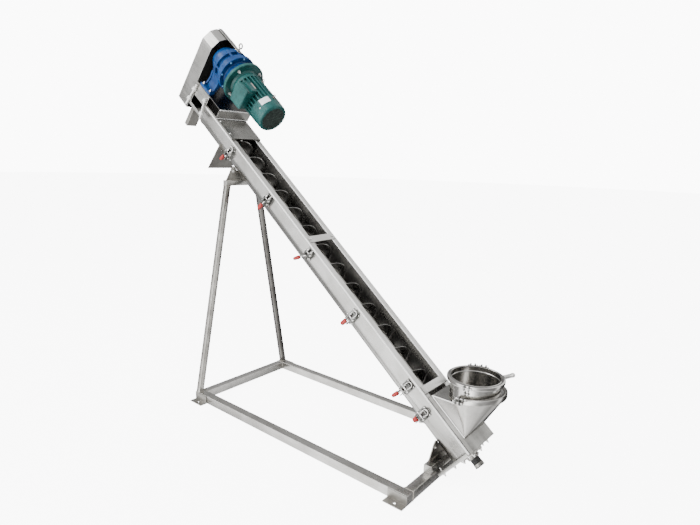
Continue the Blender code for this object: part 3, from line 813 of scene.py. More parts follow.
@dataclass
class FloorFrame:
    """Rectangle of square tube on angle feet, with the leaning legs and their crossbar."""

    shop: Workshop
    tube_corner: float = 0.005
    leg_tube: float = 0.040
    leg_corner: float = 0.004
    weld_inset: float = 0.006
    weld: Weld = Weld()

    def build(self) -> None:
        """Build tubes, legs, feet, plates and the welds between them."""
        finishes = self.shop.finishes
        for node, along in (("base_rail_near", Along.FIRST), ("base_rail_far", Along.FIRST),
                            ("base_cross_rear", Along.SECOND), ("base_cross_front", Along.SECOND),
                            ("front_block", Along.SECOND), ("leg_crossbar", Along.SECOND)):
            low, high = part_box(node)
            tube = block(Axes.world(), tuple(low), tuple(high), along, self.tube_corner)
            self.shop.piece(node + "_tube", [tube], finishes.tube, replaces=(node,), edge=0.0012)
        # The far leg takes the darker copy of the leg steel: painted shade.
        for node, finish in (("leg_near", finishes.leg), ("leg_far", finishes.shaded_leg)):
            self.shop.piece(node + "_tube", [self.leg(node)], finish, replaces=(node,), edge=0.001)
        for end in ("rear", "front"):
            for side in ("near", "far"):
                self.shop.refined(f"foot_{end}_{side}", finishes.plate, 0.001)
        for node in ("saddle_rear", "saddle_front"):
            self.shop.refined(node, finishes.plate, 0.0012)
        self.shop.piece("frame_welds", self.welds(), finishes.weld)
        self.shop.piece("saddle_bolts", self.saddle_bolts(), finishes.bright, edge=0.0006)

    def leg(self, node: str) -> Patch:
        """Leaning tube: one rounded square shifted sideways from its foot to its top.

        Args:
            node: The leg's CAD node.

        Returns:
            A closed patch.
        """
        low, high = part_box(node)
        square = rounded(rectangle((low.x, 0.0), (high.x, self.leg_tube)), self.leg_corner)
        points = np.empty((2, len(square), 3))
        points[:, :, 0] = square[:, 0]
        points[:, :, 1] = square[:, 1] + np.array(self.leg_ends(node))[:, None]
        points[:, :, 2] = np.array([low.z, high.z])[:, None]
        return Patch(points)

    def leg_ends(self, node: str) -> tuple[float, float]:
        """Low Y of a leg's tube at its foot and at its top."""
        low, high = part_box(node)
        ends = (low.y, high.y - self.leg_tube)
        return ends if node == "leg_near" else ends[::-1]

    def welds(self) -> list[Patch]:
        """Beads round the legs' feet and tops, between the floor tubes and along the saddles."""
        world = Axes.world()
        beads = []
        near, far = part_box("base_rail_near"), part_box("base_rail_far")
        for low, high in (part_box("base_cross_rear"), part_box("base_cross_front")):
            for y in (near[1].y, far[0].y):
                corner = [(low.x, y, low.z), (low.x, y, high.z), (high.x, y, high.z), (high.x, y, low.z)]
                beads.append(self.weld.bead(world, corner))
        for node in ("leg_near", "leg_far"):
            low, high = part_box(node)
            for y, z in zip(self.leg_ends(node), (low.z, high.z)):
                ring = rectangle((low.x, y), (high.x, y + self.leg_tube))[[0, 1, 2, 3, 0]]
                beads.append(self.weld.bead(world, np.column_stack((ring, np.full(5, z)))))
        for node, under in (("saddle_rear", "leg_crossbar"), ("saddle_front", "front_block")):
            low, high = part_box(node)
            ends = np.clip([low.y, high.y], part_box(under)[0].y + self.weld_inset,
                           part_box(under)[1].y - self.weld_inset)
            for x in (low.x, high.x):
                beads.append(self.weld.bead(world, [(x, ends[0], low.z), (x, ends[1], low.z)]))
        low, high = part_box("front_block")
        for x in (low.x, high.x - 0.004):
            beads.append(self.weld.bead(world, [(x, low.y + 0.01, low.z), (x, high.y - 0.01, low.z)]))
        return beads

    def saddle_bolts(self) -> list[Patch]:
        """Bolts through the shoulders of both saddle plates."""
        heads = []
        for node in ("saddle_rear", "saddle_front"):
            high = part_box(node)[1]
            for side in (-1, 1):
                heads += Fastener().at(Axes.world(), (high.x, side * 0.096, high.z - 0.040), (1, 0, 0))
        return heads


@dataclass
class Trough:
    """Folded trough, its end plates, covers, cross strap, loading lip, outlet and baffle."""

    shop: Workshop
    axes: Axes
    low: float = -0.250
    high: float = 2.860
    inner: float = 0.0955
    sheet: float = 0.003
    plate_sheet: float = 0.0063
    flange: float = 0.142
    lip: float = 0.012
    depth: float = 0.1155
    outlet: tuple = (2.590, 2.790)
    outlet_half: float = 0.060
    strap: tuple = (1.378, 1.432)
    arc_points: int = 57
    sections: tuple = ("feed", "lower", "middle", "upper", "head")

    def section(self) -> Array:
        """Closed section of the folded sheet: two half circles and the flanges with their turned lips."""
        inner, edge, sheet, lip = self.inner, self.flange, self.sheet, self.lip
        outer = inner + sheet
        left = [(-edge, -lip), (-edge, 0.0), (-inner, 0.0)]
        right = [(inner, 0.0), (edge, 0.0), (edge, -lip), (edge - sheet, -lip), (edge - sheet, -sheet),
                 (outer, -sheet)]
        back = [(-outer, -sheet), (-edge + sheet, -sheet), (-edge + sheet, -lip)]
        centre = (0.0, -self.depth)
        return np.concatenate((left, arc(centre, inner, 180, 360, self.arc_points), right,
                               arc(centre, outer, 360, 180, self.arc_points), back))

    def build(self) -> None:
        """Build the sheet work and the small fittings on it."""
        finishes = self.shop.finishes
        body = prism(self.axes, self.section(), Along.FIRST, self.low, self.high)
        sheet = self.shop.piece("trough_sheet", [body], finishes.sheet, edge=0.0012,
                                replaces=tuple("trough_" + section for section in self.sections))
        half = self.outlet_half
        opened(sheet, block(self.axes, (self.outlet[0], -half, -0.25), (self.outlet[1], half, -0.15)))
        for node in ("cover_upper", "cover_lower"):
            # The covers take the dark steel: painted shade under the motor.
            self.shop.refined(node, finishes.cover, 0.0016)
        for node in ("tie_strap", "opening_lip"):
            self.shop.refined(node, finishes.sheet, 0.0016)
        fine, highlight_beads = self.folds()
        self.shop.piece("fold_beads", fine, finishes.sheet)
        # The wide beads are near-white: painted highlight along the folds that face the light.
        self.shop.piece("flange_fold_highlights", highlight_beads, finishes.painted_highlight)
        self.shop.piece("plate_folds", self.plate_folds(), finishes.sheet, edge=0.0010)
        for node in ("end_plate_low", "end_plate_head", "outlet_baffle"):
            self.shop.refined(node, finishes.plate, 0.0012)
        self.shop.piece("trough_bolts", self.bolts(), finishes.bright, edge=0.0005)
        self.shop.piece("trough_welds", self.welds(), finishes.weld)

    def folds(self) -> tuple[list[Patch], list[Patch]]:
        """Beads along the flanges' folds and along the start of the round bottom.

        Returns:
            Fine beads on every fold, and the wide round near-white ones: painted highlight on the near outer
            and far inner folds.
        """
        outer, inner, low = self.flange - 0.0016, self.inner + 0.0014, self.inner + self.sheet - 0.0006
        fine = [self.bead(side, across, up, radius) for side in Side
                for across, up, radius in ((outer, -0.0016, 0.0026), (inner, -0.0014, 0.0022),
                                           (low, -self.depth, 0.0013))]
        highlight_beads = [self.bead(Side.NEAR, outer - 0.0012, -0.0026, 0.0052),
                self.bead(Side.FAR, inner + 0.0016, -0.0018, 0.0046)]
        return fine, highlight_beads

    def bead(self, side: Side, across: float, up: float, radius: float) -> Patch:
        """Straight bead from one end of the trough to the other."""
        ends = [(along, side.value * across, up) for along in (self.low, self.high)]
        return rod(self.axes, np.array(ends), radius, sides=12)

    def plate_folds(self) -> list[Patch]:
        """Narrow folded edges along both sides of the low end plate."""
        patches = []
        for side in Side:
            ends = sorted((side.value * (self.flange - 0.0020), side.value * (self.flange + 0.0012)))
            patches.append(block(self.axes, (self.low - 0.0075, ends[0], -0.2760),
                                 (self.low + 0.0130, ends[1], -0.0130), Along.THIRD, 0.0010))
        return patches

    def bolts(self) -> list[Patch]:
        """Bolts of the cross strap, of the head cover and of the low end plate."""
        small, long, short = Fastener(0.0075, 0.0055, 0.010), Fastener(stud=0.010), Fastener(stud=0.008)
        middle, plate, up, back = sum(self.strap) / 2, self.low - self.plate_sheet, (0, 0, 1), (-1, 0, 0)
        bolts = ((small, (middle, 0.109, 0.005), up), (long, (plate, 0.118, -0.030), back),
                 (long, (plate, 0.120, -0.252), back), (Fastener(stud=0.026), (self.low, 0.120, -0.252),
                                                        (1, 0, 0)),
                 (short, (plate, 0.126, -0.078), back), (short, (plate, 0.126, -0.150), back),
                 (small, (2.47, 0.126, 0.0143), up), (small, (2.61, 0.126, 0.0143), up))
        return [patch for side in (-1, 1) for bolt, (along, across, level), out in bolts
                for patch in bolt.at(self.axes, (along, side * across, level), out)]

    def welds(self) -> list[Patch]:
        """Beads where the trough meets its end plates."""
        round_bottom = arc((0.0, -self.depth), self.inner + self.sheet + 0.001, 200, 340, 60)
        return [Weld(radius=0.0022).bead(self.axes, np.column_stack((np.full(60, along), round_bottom)))
                for along in (self.low + 0.001, self.high - 0.001)]


@dataclass
class Screw:
    """Pipe with its journals, and the ribbon flight that winds round it."""

    shop: Workshop
    axes: Axes
    low: float = -0.205
    high: float = 2.740
    pitch: float = 0.177
    radius: float = 0.085
    pipe: float = 0.027
    journal: float = 0.017
    half_sheet: float = 0.002
    edge_radius: float = 0.0017
    weld_radius: float = 0.0028
    phase_at: float = 1.180
    pipe_ends: tuple = (-0.244, 2.854)
    journal_ends: tuple = (-0.312, 3.145)
    steps_per_turn: int = 56

    def angles(self) -> tuple[Array, Array]:
        """Place along the trough and angle of the flight's stations.

        Returns:
            Distance along, and the angle from the open top towards the far side.
        """
        turns = (self.high - self.low) / self.pitch
        share = np.linspace(0.0, turns, int(turns * self.steps_per_turn) + 1)
        start = (self.phase_at - self.low) / self.pitch * TURN
        return self.low + share * self.pitch, start - TURN * share

    def wound(self, section: Array) -> Patch:
        """Wind a section: each point keeps its radius and its shift along, and turns with the station.

        Args:
            section: Closed outline as pairs of shift along and radius.

        Returns:
            A closed patch.
        """
        along, angle = self.angles()
        shift, radius = section[:, 0], section[:, 1]
        points = np.stack((along[:, None] + shift, -radius * np.sin(angle)[:, None],
                           -SCREW_DEPTH + radius * np.cos(angle)[:, None]), axis=-1)
        return Patch(self.axes.place(points))

    def build(self) -> None:
        """Build the flight, the pipe and the weld at the flight's root."""
        finishes = self.shop.finishes
        half, root, tip = self.half_sheet, self.pipe - 0.0005, self.radius
        middle = np.linspace(root, tip - 0.002, 6)
        section = np.concatenate((np.stack((np.full(6, -half), middle), axis=-1),
                                  [(-half * 0.5, tip), (half * 0.5, tip)],
                                  np.stack((np.full(6, half), middle[::-1]), axis=-1)))
        self.shop.piece("flight_ribbon", [self.wound(section)], finishes.auger, Body.SCREW,
                        ("screw_flight",))
        # The flight's rim takes the lighter sheet steel: painted highlight along the rim.
        edge = np.array([0.0, tip]) + self.edge_radius * spokes(circle(8))
        self.shop.piece("flight_rim_highlight", [self.wound(edge)], finishes.sheet, Body.SCREW)
        pipe = [(self.journal_ends[0], self.journal - 0.002), (self.journal_ends[0] + 0.002, self.journal),
                (self.pipe_ends[0], self.journal), (self.pipe_ends[0], self.pipe),
                (self.pipe_ends[1], self.pipe), (self.pipe_ends[1], self.journal),
                (self.journal_ends[1] - 0.002, self.journal), (self.journal_ends[1], self.journal - 0.002)]
        centre = (0, 0, -SCREW_DEPTH)
        self.shop.piece("screw_tube", [turned(self.axes, pipe, centre, (1, 0, 0), 56)], finishes.auger,
                        Body.SCREW, ("screw_pipe",))
        for name, side in (("flight_weld_low", -1), ("flight_weld_high", 1)):
            bead = np.array([side * half, self.pipe]) + self.weld_radius * spokes(circle(6))
            self.shop.piece(name, [self.wound(bead)], finishes.weld, Body.SCREW)


@dataclass
class Bearings:
    """Square flange bearings outside both end plates, with bolts and a grease nipple each."""

    shop: Workshop
    axes: Axes
    faces: tuple = (-0.2566, 2.8666)
    half: float = 0.059
    flange: float = 0.014
    boss: float = 0.040
    boss_depth: float = 0.034
    cap: float = 0.029
    cap_reach: float = 0.0900
    cap_length: float = 0.027
    bore: float = 0.0178
    bolt_place: float = 0.044

    def build(self) -> None:
        """Build both housings and their hardware."""
        finishes = self.shop.finishes
        for name, face, sign in (("bearing_low", self.faces[0], -1), ("bearing_head", self.faces[1], 1)):
            self.shop.piece(name + "_housing", self.housing(face, sign), finishes.cast, replaces=(name,),
                            edge=0.001)
            heads = []
            for across in (-1, 1):
                for up in (-1, 1):
                    place = (face + sign * self.flange, across * self.bolt_place,
                             -SCREW_DEPTH + up * self.bolt_place)
                    heads += Fastener(hexagon=0.009, stud=0.006).at(self.axes, place, (sign, 0, 0))
            # Black rings in the cap's recess, round its neck and near its end: painted shade.
            if sign < 0:
                self.shop.piece(name + "_shade_rings", self.cap_shade_rings(face), finishes.shade_lining)
            self.shop.piece(name + "_bolts", heads, finishes.bright, edge=0.0005)

    def cap_shade_rings(self, face: float) -> list[Patch]:
        """Black recess, groove and band of the low bearing's cap: painted shade."""
        reach, neck, cap = self.cap_reach, self.cap_reach - self.cap_length, self.cap
        profiles = []
        for low, high, radius in ((reach - 0.0045, reach - 0.0025, cap - 0.006),
                                  (self.boss_depth - 0.001, neck - 0.0005, cap + 0.0004),
                                  (reach - 0.0055, reach - 0.0015, cap + 0.0026)):
            profiles.append([(low, 0.0), (low, radius), (high, radius), (high, 0.0)])
        return [turned(self.axes, profile, (face, 0, -SCREW_DEPTH), (-1, 0, 0)) for profile in profiles]

    def housing(self, face: float, sign: int) -> list[Patch]:
        """Square flange with round corners, and the turned boss with its bore.

        Args:
            face: Place of the face that it stands on.
            sign: Which way it points along the trough.

        Returns:
            Patches of the flange, the boss, the ring round the shaft and the nipple.
        """
        half, centre = self.half, (face, 0, -SCREW_DEPTH)
        square = rounded(rectangle((-half, -SCREW_DEPTH - half), (half, -SCREW_DEPTH + half)), 0.018, 8)
        ends = sorted((face, face + sign * self.flange))
        patches = [prism(self.axes, square, Along.FIRST, *ends)]
        boss, deep = self.boss, self.boss_depth
        profile = [(0.004, self.bore), (self.flange, boss + 0.004), (self.flange + 0.003, boss),
                   (deep - 0.003, 0.93 * boss), (deep, 0.88 * boss), (deep, self.cap + 0.001),
                   (deep - 0.002, self.cap)]
        if sign < 0:
            reach, cap = self.cap_reach, self.cap
            neck = reach - self.cap_length
            profile += [(neck - 0.003, cap - 0.004), (neck, cap - 0.004), (neck + 0.0005, cap),
                        (neck + 0.003, cap + 0.002), (reach - 0.003, cap + 0.002), (reach, cap - 0.001),
                        (reach, cap - 0.006), (reach - 0.004, cap - 0.007), (reach - 0.004, 0.0)]
        else:
            profile += [(deep + 0.010, self.cap), (deep + 0.012, self.cap - 0.002), (deep + 0.012, self.bore)]
        patches.append(turned(self.axes, profile, centre, (sign, 0, 0), 64))
        nipple = [(0.0, 0.005), (0.006, 0.005), (0.007, 0.0035), (0.013, 0.0035), (0.014, 0.002),
                  (0.017, 0.003), (0.018, 0.0)]
        top = (face + sign * 0.024, 0, -SCREW_DEPTH + self.boss * 0.93)
        patches.append(turned(self.axes, nipple, top, (0, 0, 1), 12))
        return patches


@dataclass
class ToggleClamps:
    """Red-handled toggle clamps along both walls of the trough.

    Each has a place along the trough, a level under its open top, and its grip's reach and lean.
    """

    shop: Workshop
    axes: Axes
    places: tuple = (2.401, 1.877, 1.349, 0.820, 0.258, 0.076)
    levels: tuple = (-0.112, -0.080, -0.072, -0.110, -0.102, -0.130)
    reaches: tuple = (0.054, 0.072, 0.090, 0.054, 0.072, 0.036)
    leans: tuple = (0.017, 0.004, 0.042, 0.009, 0.011, 0.004)
    wall: float = 0.0987
    scale: float = 1.2

    def build(self) -> None:
        """Build the plates, the bright hardware and the grips of every clamp."""
        finishes = self.shop.finishes
        for side in Side:
            plates, rods, grips = [], [], []
            for place, level, reach, lean in zip(self.places, self.levels, self.reaches, self.leans):
                spot = Axes(self.axes.place((place, side.value * self.wall, level)),
                            self.scale * self.axes.rows * np.array([1.0, side.value, 1.0])[:, None])
                reach, lean = reach / self.scale, lean / self.scale
                plates += self.plates(spot)
                rods += self.rods(spot, reach, lean)
                grips.append(self.grip(spot, reach, lean))
            name = side.name.lower()
            self.shop.piece(f"clamp_plates_{name}", plates, finishes.clamp, edge=0.0005)
            self.shop.piece(f"clamp_rods_{name}", rods, finishes.bright, edge=0.0005)
            self.shop.piece(f"clamp_grips_{name}", grips, finishes.grip, edge=0.0012)

    @staticmethod
    def plates(spot: Axes) -> list[Patch]:
        """Base plate, two ears, the handle's cheeks and the keeper on the flange.

        Args:
            spot: Axes at the clamp's middle, the second of them off the wall.

        Returns:
            Patches of one clamp.
        """
        patches = [block(spot, (-0.028, 0.0, -0.042), (0.028, 0.003, 0.044), Along.SECOND, 0.006)]
        ear = np.array([[0.002, -0.036], [0.002, 0.026], [0.024, 0.022], [0.034, 0.006], [0.034, -0.016],
                        [0.022, -0.036]])
        cheek = np.array([[0.018, -0.046], [0.012, 0.004], [0.022, 0.014], [0.036, 0.004], [0.038, -0.042]])
        for outline, reach, apart, half in ((ear, 0.005, 0.018, 0.0018), (cheek, 0.004, 0.011, 0.0016)):
            for shift in (-apart, apart):
                patches.append(prism(spot, rounded(outline, reach), Along.FIRST, shift - half, shift + half))
        patches.append(block(spot, (-0.014, 0.003, 0.030), (0.014, 0.020, 0.036), Along.SECOND, 0.002))
        return patches

    @staticmethod
    def rods(spot: Axes, reach: float, lean: float) -> list[Patch]:
        """Pins with heads, the drawn loop, its nuts, rivets and the handle's stem.

        Args:
            spot: Axes at the clamp's middle.
            reach: How far below the middle the grip's middle hangs.
            lean: How far up the trough the grip's middle stands.

        Returns:
            Patches of one clamp.
        """
        patches = []
        for out, up in ((0.022, -0.022), (0.025, 0.004)):
            pin = [(-0.025, 0.0), (-0.025, 0.0072), (-0.021, 0.0072), (-0.021, 0.0045), (0.021, 0.0045),
                   (0.021, 0.0072), (0.025, 0.0072), (0.025, 0.0)]
            patches.append(turned(spot, pin, (0, out, up), (1, 0, 0), 14))
        half, top = 0.0140, 0.047
        bend = np.radians(np.linspace(180, 0, 11))
        over = np.stack((half * np.cos(bend), np.full(11, 0.014), top - half + half * np.sin(bend)), axis=-1)
        loop = np.concatenate(([(-half, 0.025, 0.002)], over, [(half, 0.025, 0.002)]))
        patches.append(rod(spot, resampled(loop, 0.003), 0.0034))
        for across in (-half, half):
            nut = [(-0.006, 0.0070), (0.006, 0.0070)]
            patches.append(turned(spot, nut, (across, 0.021, 0.016), (0, -0.3, 1), 6))
        for across in (-0.022, 0.022):
            for up in (-0.034, 0.036):
                rivet = [(0.003, 0.0050), (0.0052, 0.0040), (0.0060, 0.0)]
                patches.append(turned(spot, rivet, (across, 0, up), (0, 1, 0), 12))
        stem = [(0.0, 0.027, -0.018), (0.2 * lean, 0.030, -0.024), (0.75 * lean, 0.031, -reach + 0.016)]
        patches.append(rod(spot, resampled(stem, 0.004), 0.0050))
        return patches

    @staticmethod
    def grip(spot: Axes, reach: float, lean: float) -> Patch:
        """Red sleeve: an oval that swells in its middle and narrows at both ends.

        Args:
            spot: Axes at the clamp's middle.
            reach: How far below the middle the grip's middle hangs.
            lean: How far up the trough the grip's middle stands.

        Returns:
            A closed patch.
        """
        half = min(0.0225, 0.48 * reach)
        ends = [(0.65 * lean, 0.032, -reach + half), (1.35 * lean, 0.038, -reach - half)]
        path = resampled(ends, 0.003)
        share = np.linspace(-1, 1, len(path))
        swell = np.sqrt(np.clip(1 - share**6, 0.05, 1)) * (1 - 0.10 * share)
        oval = np.array([0.0108, 0.0128]) * spokes(circle(20))
        return carried(spot, path, oval, swell=swell)


@dataclass
class ChainGuard:
    """Deep folded chain guard, its strap and the shoe under it."""

    shop: Workshop
    axes: Axes
    front: float = 3.029
    back: float = 3.165
    radius: float = 0.116
    top_centre: float = 0.332
    bottom: float = -0.178
    sheet: float = 0.003
    folds: tuple = (0, 9, 49, 74, 106, 131, 171, 180)

    def outline(self, inset: float) -> Array:
        """Flat bottom, straight sides and a top of flat facets with soft folds between them."""
        radius = self.radius - inset
        angle = np.radians(np.array(self.folds, float))
        crown = np.array([0.0, self.top_centre]) + radius * spokes(angle)
        low = self.bottom + inset
        corners = np.concatenate(([(-radius, low), (radius, low)], crown))
        reach = np.array([0.004, 0.004] + [0.006] * len(crown))
        return rounded(corners, reach, 5)

    def build(self) -> None:
        """Build the guard and finish the strap and the shoe."""
        finishes = self.shop.finishes
        outer, inner = self.outline(0.0), self.outline(self.sheet)
        shell = self.cup(((self.back - self.sheet, inner), (self.front, inner), (self.front, outer),
                          (self.back, outer)))
        self.shop.piece("guard_shell", [shell], finishes.sheet, replaces=("guard",), edge=0.0008)
        # Black cup inside the guard: painted shade.
        self.shop.piece("guard_painted_shade", [self.shade_lining()], finishes.shade_lining)
        self.shop.refined("guard_strap", finishes.sheet, 0.001)
        self.shop.refined("guard_shoe", finishes.plate, 0.0015)

    def shade_lining(self) -> Patch:
        """Thin black cup against the guard's inner faces, open towards the motor: painted shade inside the
        guard.
        """
        gap, thick = 0.0003, 0.0008
        near, far = self.outline(self.sheet + gap), self.outline(self.sheet + thick)
        deep = self.back - self.sheet
        mouth = self.front + 0.001
        return self.cup(((deep - gap, near), (mouth, near), (mouth, far), (deep - thick, far)))

    def cup(self, rows: tuple) -> Patch:
        """Closed surface through outlines, each at its place along the trough."""
        return Patch(self.axes.place(np.stack([np.column_stack((np.full(len(ring), along), ring))
                                               for along, ring in rows])))


@dataclass
class DriveStand:
    """Tray that carries the reducer, its slotted side plates and the take-up studs.

    Each stud line holds the stud's low end and high end, and the levels of its nuts.
    """

    shop: Workshop
    axes: Axes
    wall: float = 0.1473
    front: float = 2.641
    half: float = 0.150
    apron: tuple = (0.019, 0.092)
    stud_out: float = 0.012
    stud_radius: float = 0.0085
    stud_lines: tuple = (((2.995, -0.125), (2.966, 0.078), (0.023, -0.068)),
                         ((2.788, -0.106), (2.822, 0.056), (0.032, -0.067)))

    def build(self) -> None:
        """Finish the plates and build the studs with their nuts."""
        finishes = self.shop.finishes
        # The deck takes the near-black steel: painted shadow under the motor.
        self.shop.refined("drive_stand", finishes.deck, 0.0014)
        for node in ("stand_side_near", "stand_side_far"):
            self.shop.refined(node, finishes.sheet, 0.0014)
        self.shop.refined("drive_shaft", finishes.bright, 0.001)
        front, half, (low, top) = self.front, self.half, self.apron
        self.shop.piece("stand_apron", [block(self.axes, (front - 0.0014, -half, low), (front, half, top))],
                        finishes.sheet, edge=0.0005)
        # Near-white rods along the apron's top and bottom edges: painted highlight.
        lines = [rod(self.axes, np.array([(front, -half, up), (front, half, up)]), 0.0042, sides=12)
                 for up in self.apron]
        self.shop.piece("stand_edge_highlights", lines, finishes.painted_highlight)
        nut = Fastener(hexagon=0.0155, height=0.016, washer=0.0190, washer_height=0.0030)
        studs, nuts = [], []
        for side in Side:
            across = side.value * (self.wall + self.stud_out)
            for low, high, levels in self.stud_lines:
                start = np.array([low[0], across, low[1]])
                run = np.array([high[0], across, high[1]]) - start
                studs.append(thread(self.axes, tuple(start), tuple(run), self.stud_radius, 0.0,
                                    float(np.linalg.norm(run)), 0.003))
                for level in levels:
                    share = (level - low[1]) / (high[1] - low[1])
                    nuts += nut.at(self.axes, tuple(start + share * run), tuple(run))
        self.shop.piece("take_up_studs", studs, finishes.bright, edge=0.0006)
        # The nuts take the near-white finish: painted highlight.
        self.shop.piece("take_up_nuts", nuts, finishes.painted_highlight, edge=0.0008)


def on_circle(along: float, height: float, radius: float, angle: float) -> tuple:
    """Place at a radius and an angle round a line that runs along at a height."""
    return (along, radius * np.cos(angle), height + radius * np.sin(angle))


def bolt_ring(axes: Axes, bolt: Fastener, centre: tuple, radius: float, angles: Array,
              sign: int) -> list[Patch]:
    """Bolts round a line along the first axis.

    Args:
        axes: Axes of the machine part.
        bolt: The bolt to repeat.
        centre: Distance along the line, and the line's height.
        radius: Radius of the bolt circle.
        angles: Directions of the bolts.
        sign: Whether the heads stand forward (1) or back (-1).

    Returns:
        Patches of every bolt.
    """
    return [patch for angle in angles
            for patch in bolt.at(axes, on_circle(centre[0], centre[1], radius, angle), (sign, 0, 0))]


@dataclass
class Reducer:
    """Blue cast reducer: stepped housing, ribs, bolted flange and cast feet."""

    shop: Workshop
    axes: Axes
    height: float = 0.308
    stand_top: float = 0.0963
    flange_place: tuple = (2.790, 2.826)
    flange_radius: float = 0.150
    bolt_circle: float = 0.1375
    bolt_count: int = 8
    face: float = 3.008
    face_circle: float = 0.066
    rib_degrees: tuple = (-3, 57, 87, 117, 150, 183, 210, 240, 270, 300, 330)

    def build(self) -> None:
        """Build the casting and its bolts."""
        finishes = self.shop.finishes
        centre = (0, 0, self.height)
        body = [(2.7165, 0.0), (2.7165, 0.112), (2.784, 0.112), (self.flange_place[0], 0.118),
                (self.flange_place[0], 0.147), (self.flange_place[0] + 0.003, self.flange_radius),
                (self.flange_place[1] - 0.003, self.flange_radius), (self.flange_place[1], 0.146),
                (2.829, 0.1395), (2.845, 0.1390), (2.848, 0.118), (2.880, 0.118), (2.884, 0.1375),
                (2.900, 0.1350), (2.906, 0.1265), (2.950, 0.1165), (2.958, 0.113), (2.964, 0.104),
                (2.970, 0.098), (2.998, 0.0945), (3.005, 0.090), (self.face, 0.084), (self.face, 0.0)]
        casting = [turned(self.axes, body, centre, (1, 0, 0), 96)]
        casting += self.ribs() + self.feet()
        self.shop.piece("reducer_casting", casting, finishes.blue, replaces=("reducer",), edge=0.0014)
        # The flange bolts take the paler blue: painted highlight.
        painted = bolt_ring(self.axes, Fastener(hexagon=0.0065, height=0.006, washer=0.008),
                            (self.flange_place[0], self.height), self.bolt_circle,
                            circle(self.bolt_count, np.radians(-5)), -1)
        self.shop.piece("reducer_painted_bolts", painted, finishes.pale_blue, edge=0.0005)
        heads = bolt_ring(self.axes, Fastener(hexagon=0.007, height=0.005, washer=0.008),
                          (self.face, self.height), self.face_circle, circle(8, 0.2), 1)
        foot_bolt = Fastener(hexagon=0.010, height=0.008, washer=0.012, stud=0.008)
        for side in Side:
            for along in (2.832, 2.928):
                place = (along, side.value * 0.137, self.stand_top + 0.020)
                heads += foot_bolt.at(self.axes, place, (0, 0, 1))
        self.shop.piece("reducer_bolts", heads, finishes.bright, edge=0.0005)
        eye = EyeBolt((2.889, 0.0, 0.4525), ring=0.0175, bar=0.0058, neck=0.012)
        self.shop.piece("reducer_eyebolt", eye.patches(self.axes), finishes.cast)

    def ribs(self) -> list[Patch]:
        """Broad ribs that bridge the groove behind the flange."""
        patches = []
        for angle in np.radians(self.rib_degrees):
            across, up = np.cos(angle), np.sin(angle)
            turnaxes = Axes(self.axes.place((0, 0, self.height)), np.stack((
                self.axes.rows[0], -up * self.axes.rows[1] + across * self.axes.rows[2],
                across * self.axes.rows[1] + up * self.axes.rows[2])))
            rib = np.array([[0.100, 2.840], [0.1380, 2.840], [0.1365, 2.900], [0.1260, 2.935],
                            [0.100, 2.935]])
            patches.append(prism(turnaxes, rib, Along.SECOND, -0.007, 0.007))
        return patches

    def feet(self) -> list[Patch]:
        """Two foot pads and the curved web that carries the housing on them."""
        top = self.stand_top
        patches = []
        for side in Side:
            sign = side.value
            pad = sorted((sign * 0.104, sign * 0.153))
            patches.append(block(self.axes, (2.810, pad[0], top), (2.950, pad[1], top + 0.020), Along.THIRD,
                                 0.010))
            web = np.array([(sign * 0.150, top + 0.018), (sign * 0.118, top + 0.030),
                            (sign * 0.107, top + 0.080), (sign * 0.112, top + 0.140),
                            (sign * 0.060, top + 0.120), (sign * 0.064, top + 0.090),
                            (sign * 0.085, top + 0.050), (sign * 0.106, top + 0.004)])
            for low, high in ((2.822, 2.836), (2.922, 2.936)):
                patches.append(prism(self.axes, rounded(web, 0.006), Along.FIRST, low, high))
            wall = np.array([(sign * 0.116, top + 0.004), (sign * 0.100, top + 0.070),
                             (sign * 0.108, top + 0.140), (sign * 0.094, top + 0.140),
                             (sign * 0.086, top + 0.070), (sign * 0.104, top + 0.004)])
            patches.append(prism(self.axes, rounded(wall, 0.004), Along.FIRST, 2.824, 2.934))
        return patches


@dataclass(frozen=True)
class EyeBolt:
    """Lifting eye: a ring on a collared neck."""

    foot: tuple
    ring: float = 0.012
    bar: float = 0.0035
    neck: float = 0.010

    def patches(self, axes: Axes) -> list[Patch]:
        """Ring, neck and collar.

        Args:
            axes: Axes of the foot.

        Returns:
            Closed patches.
        """
        middle = np.array(self.foot) + np.array([0.0, 0.0, self.neck + self.ring + self.bar])
        path = middle + self.ring * np.insert(spokes(circle(36)), 1, 0.0, axis=1)
        collar = [(0.0, 0.012), (0.004, 0.012), (0.006, 0.007), (self.neck + 2 * self.bar, 0.005)]
        return [rod(axes, path, self.bar, closed=True, sides=12),
                turned(axes, collar, self.foot, (0, 0, 1), 24)]


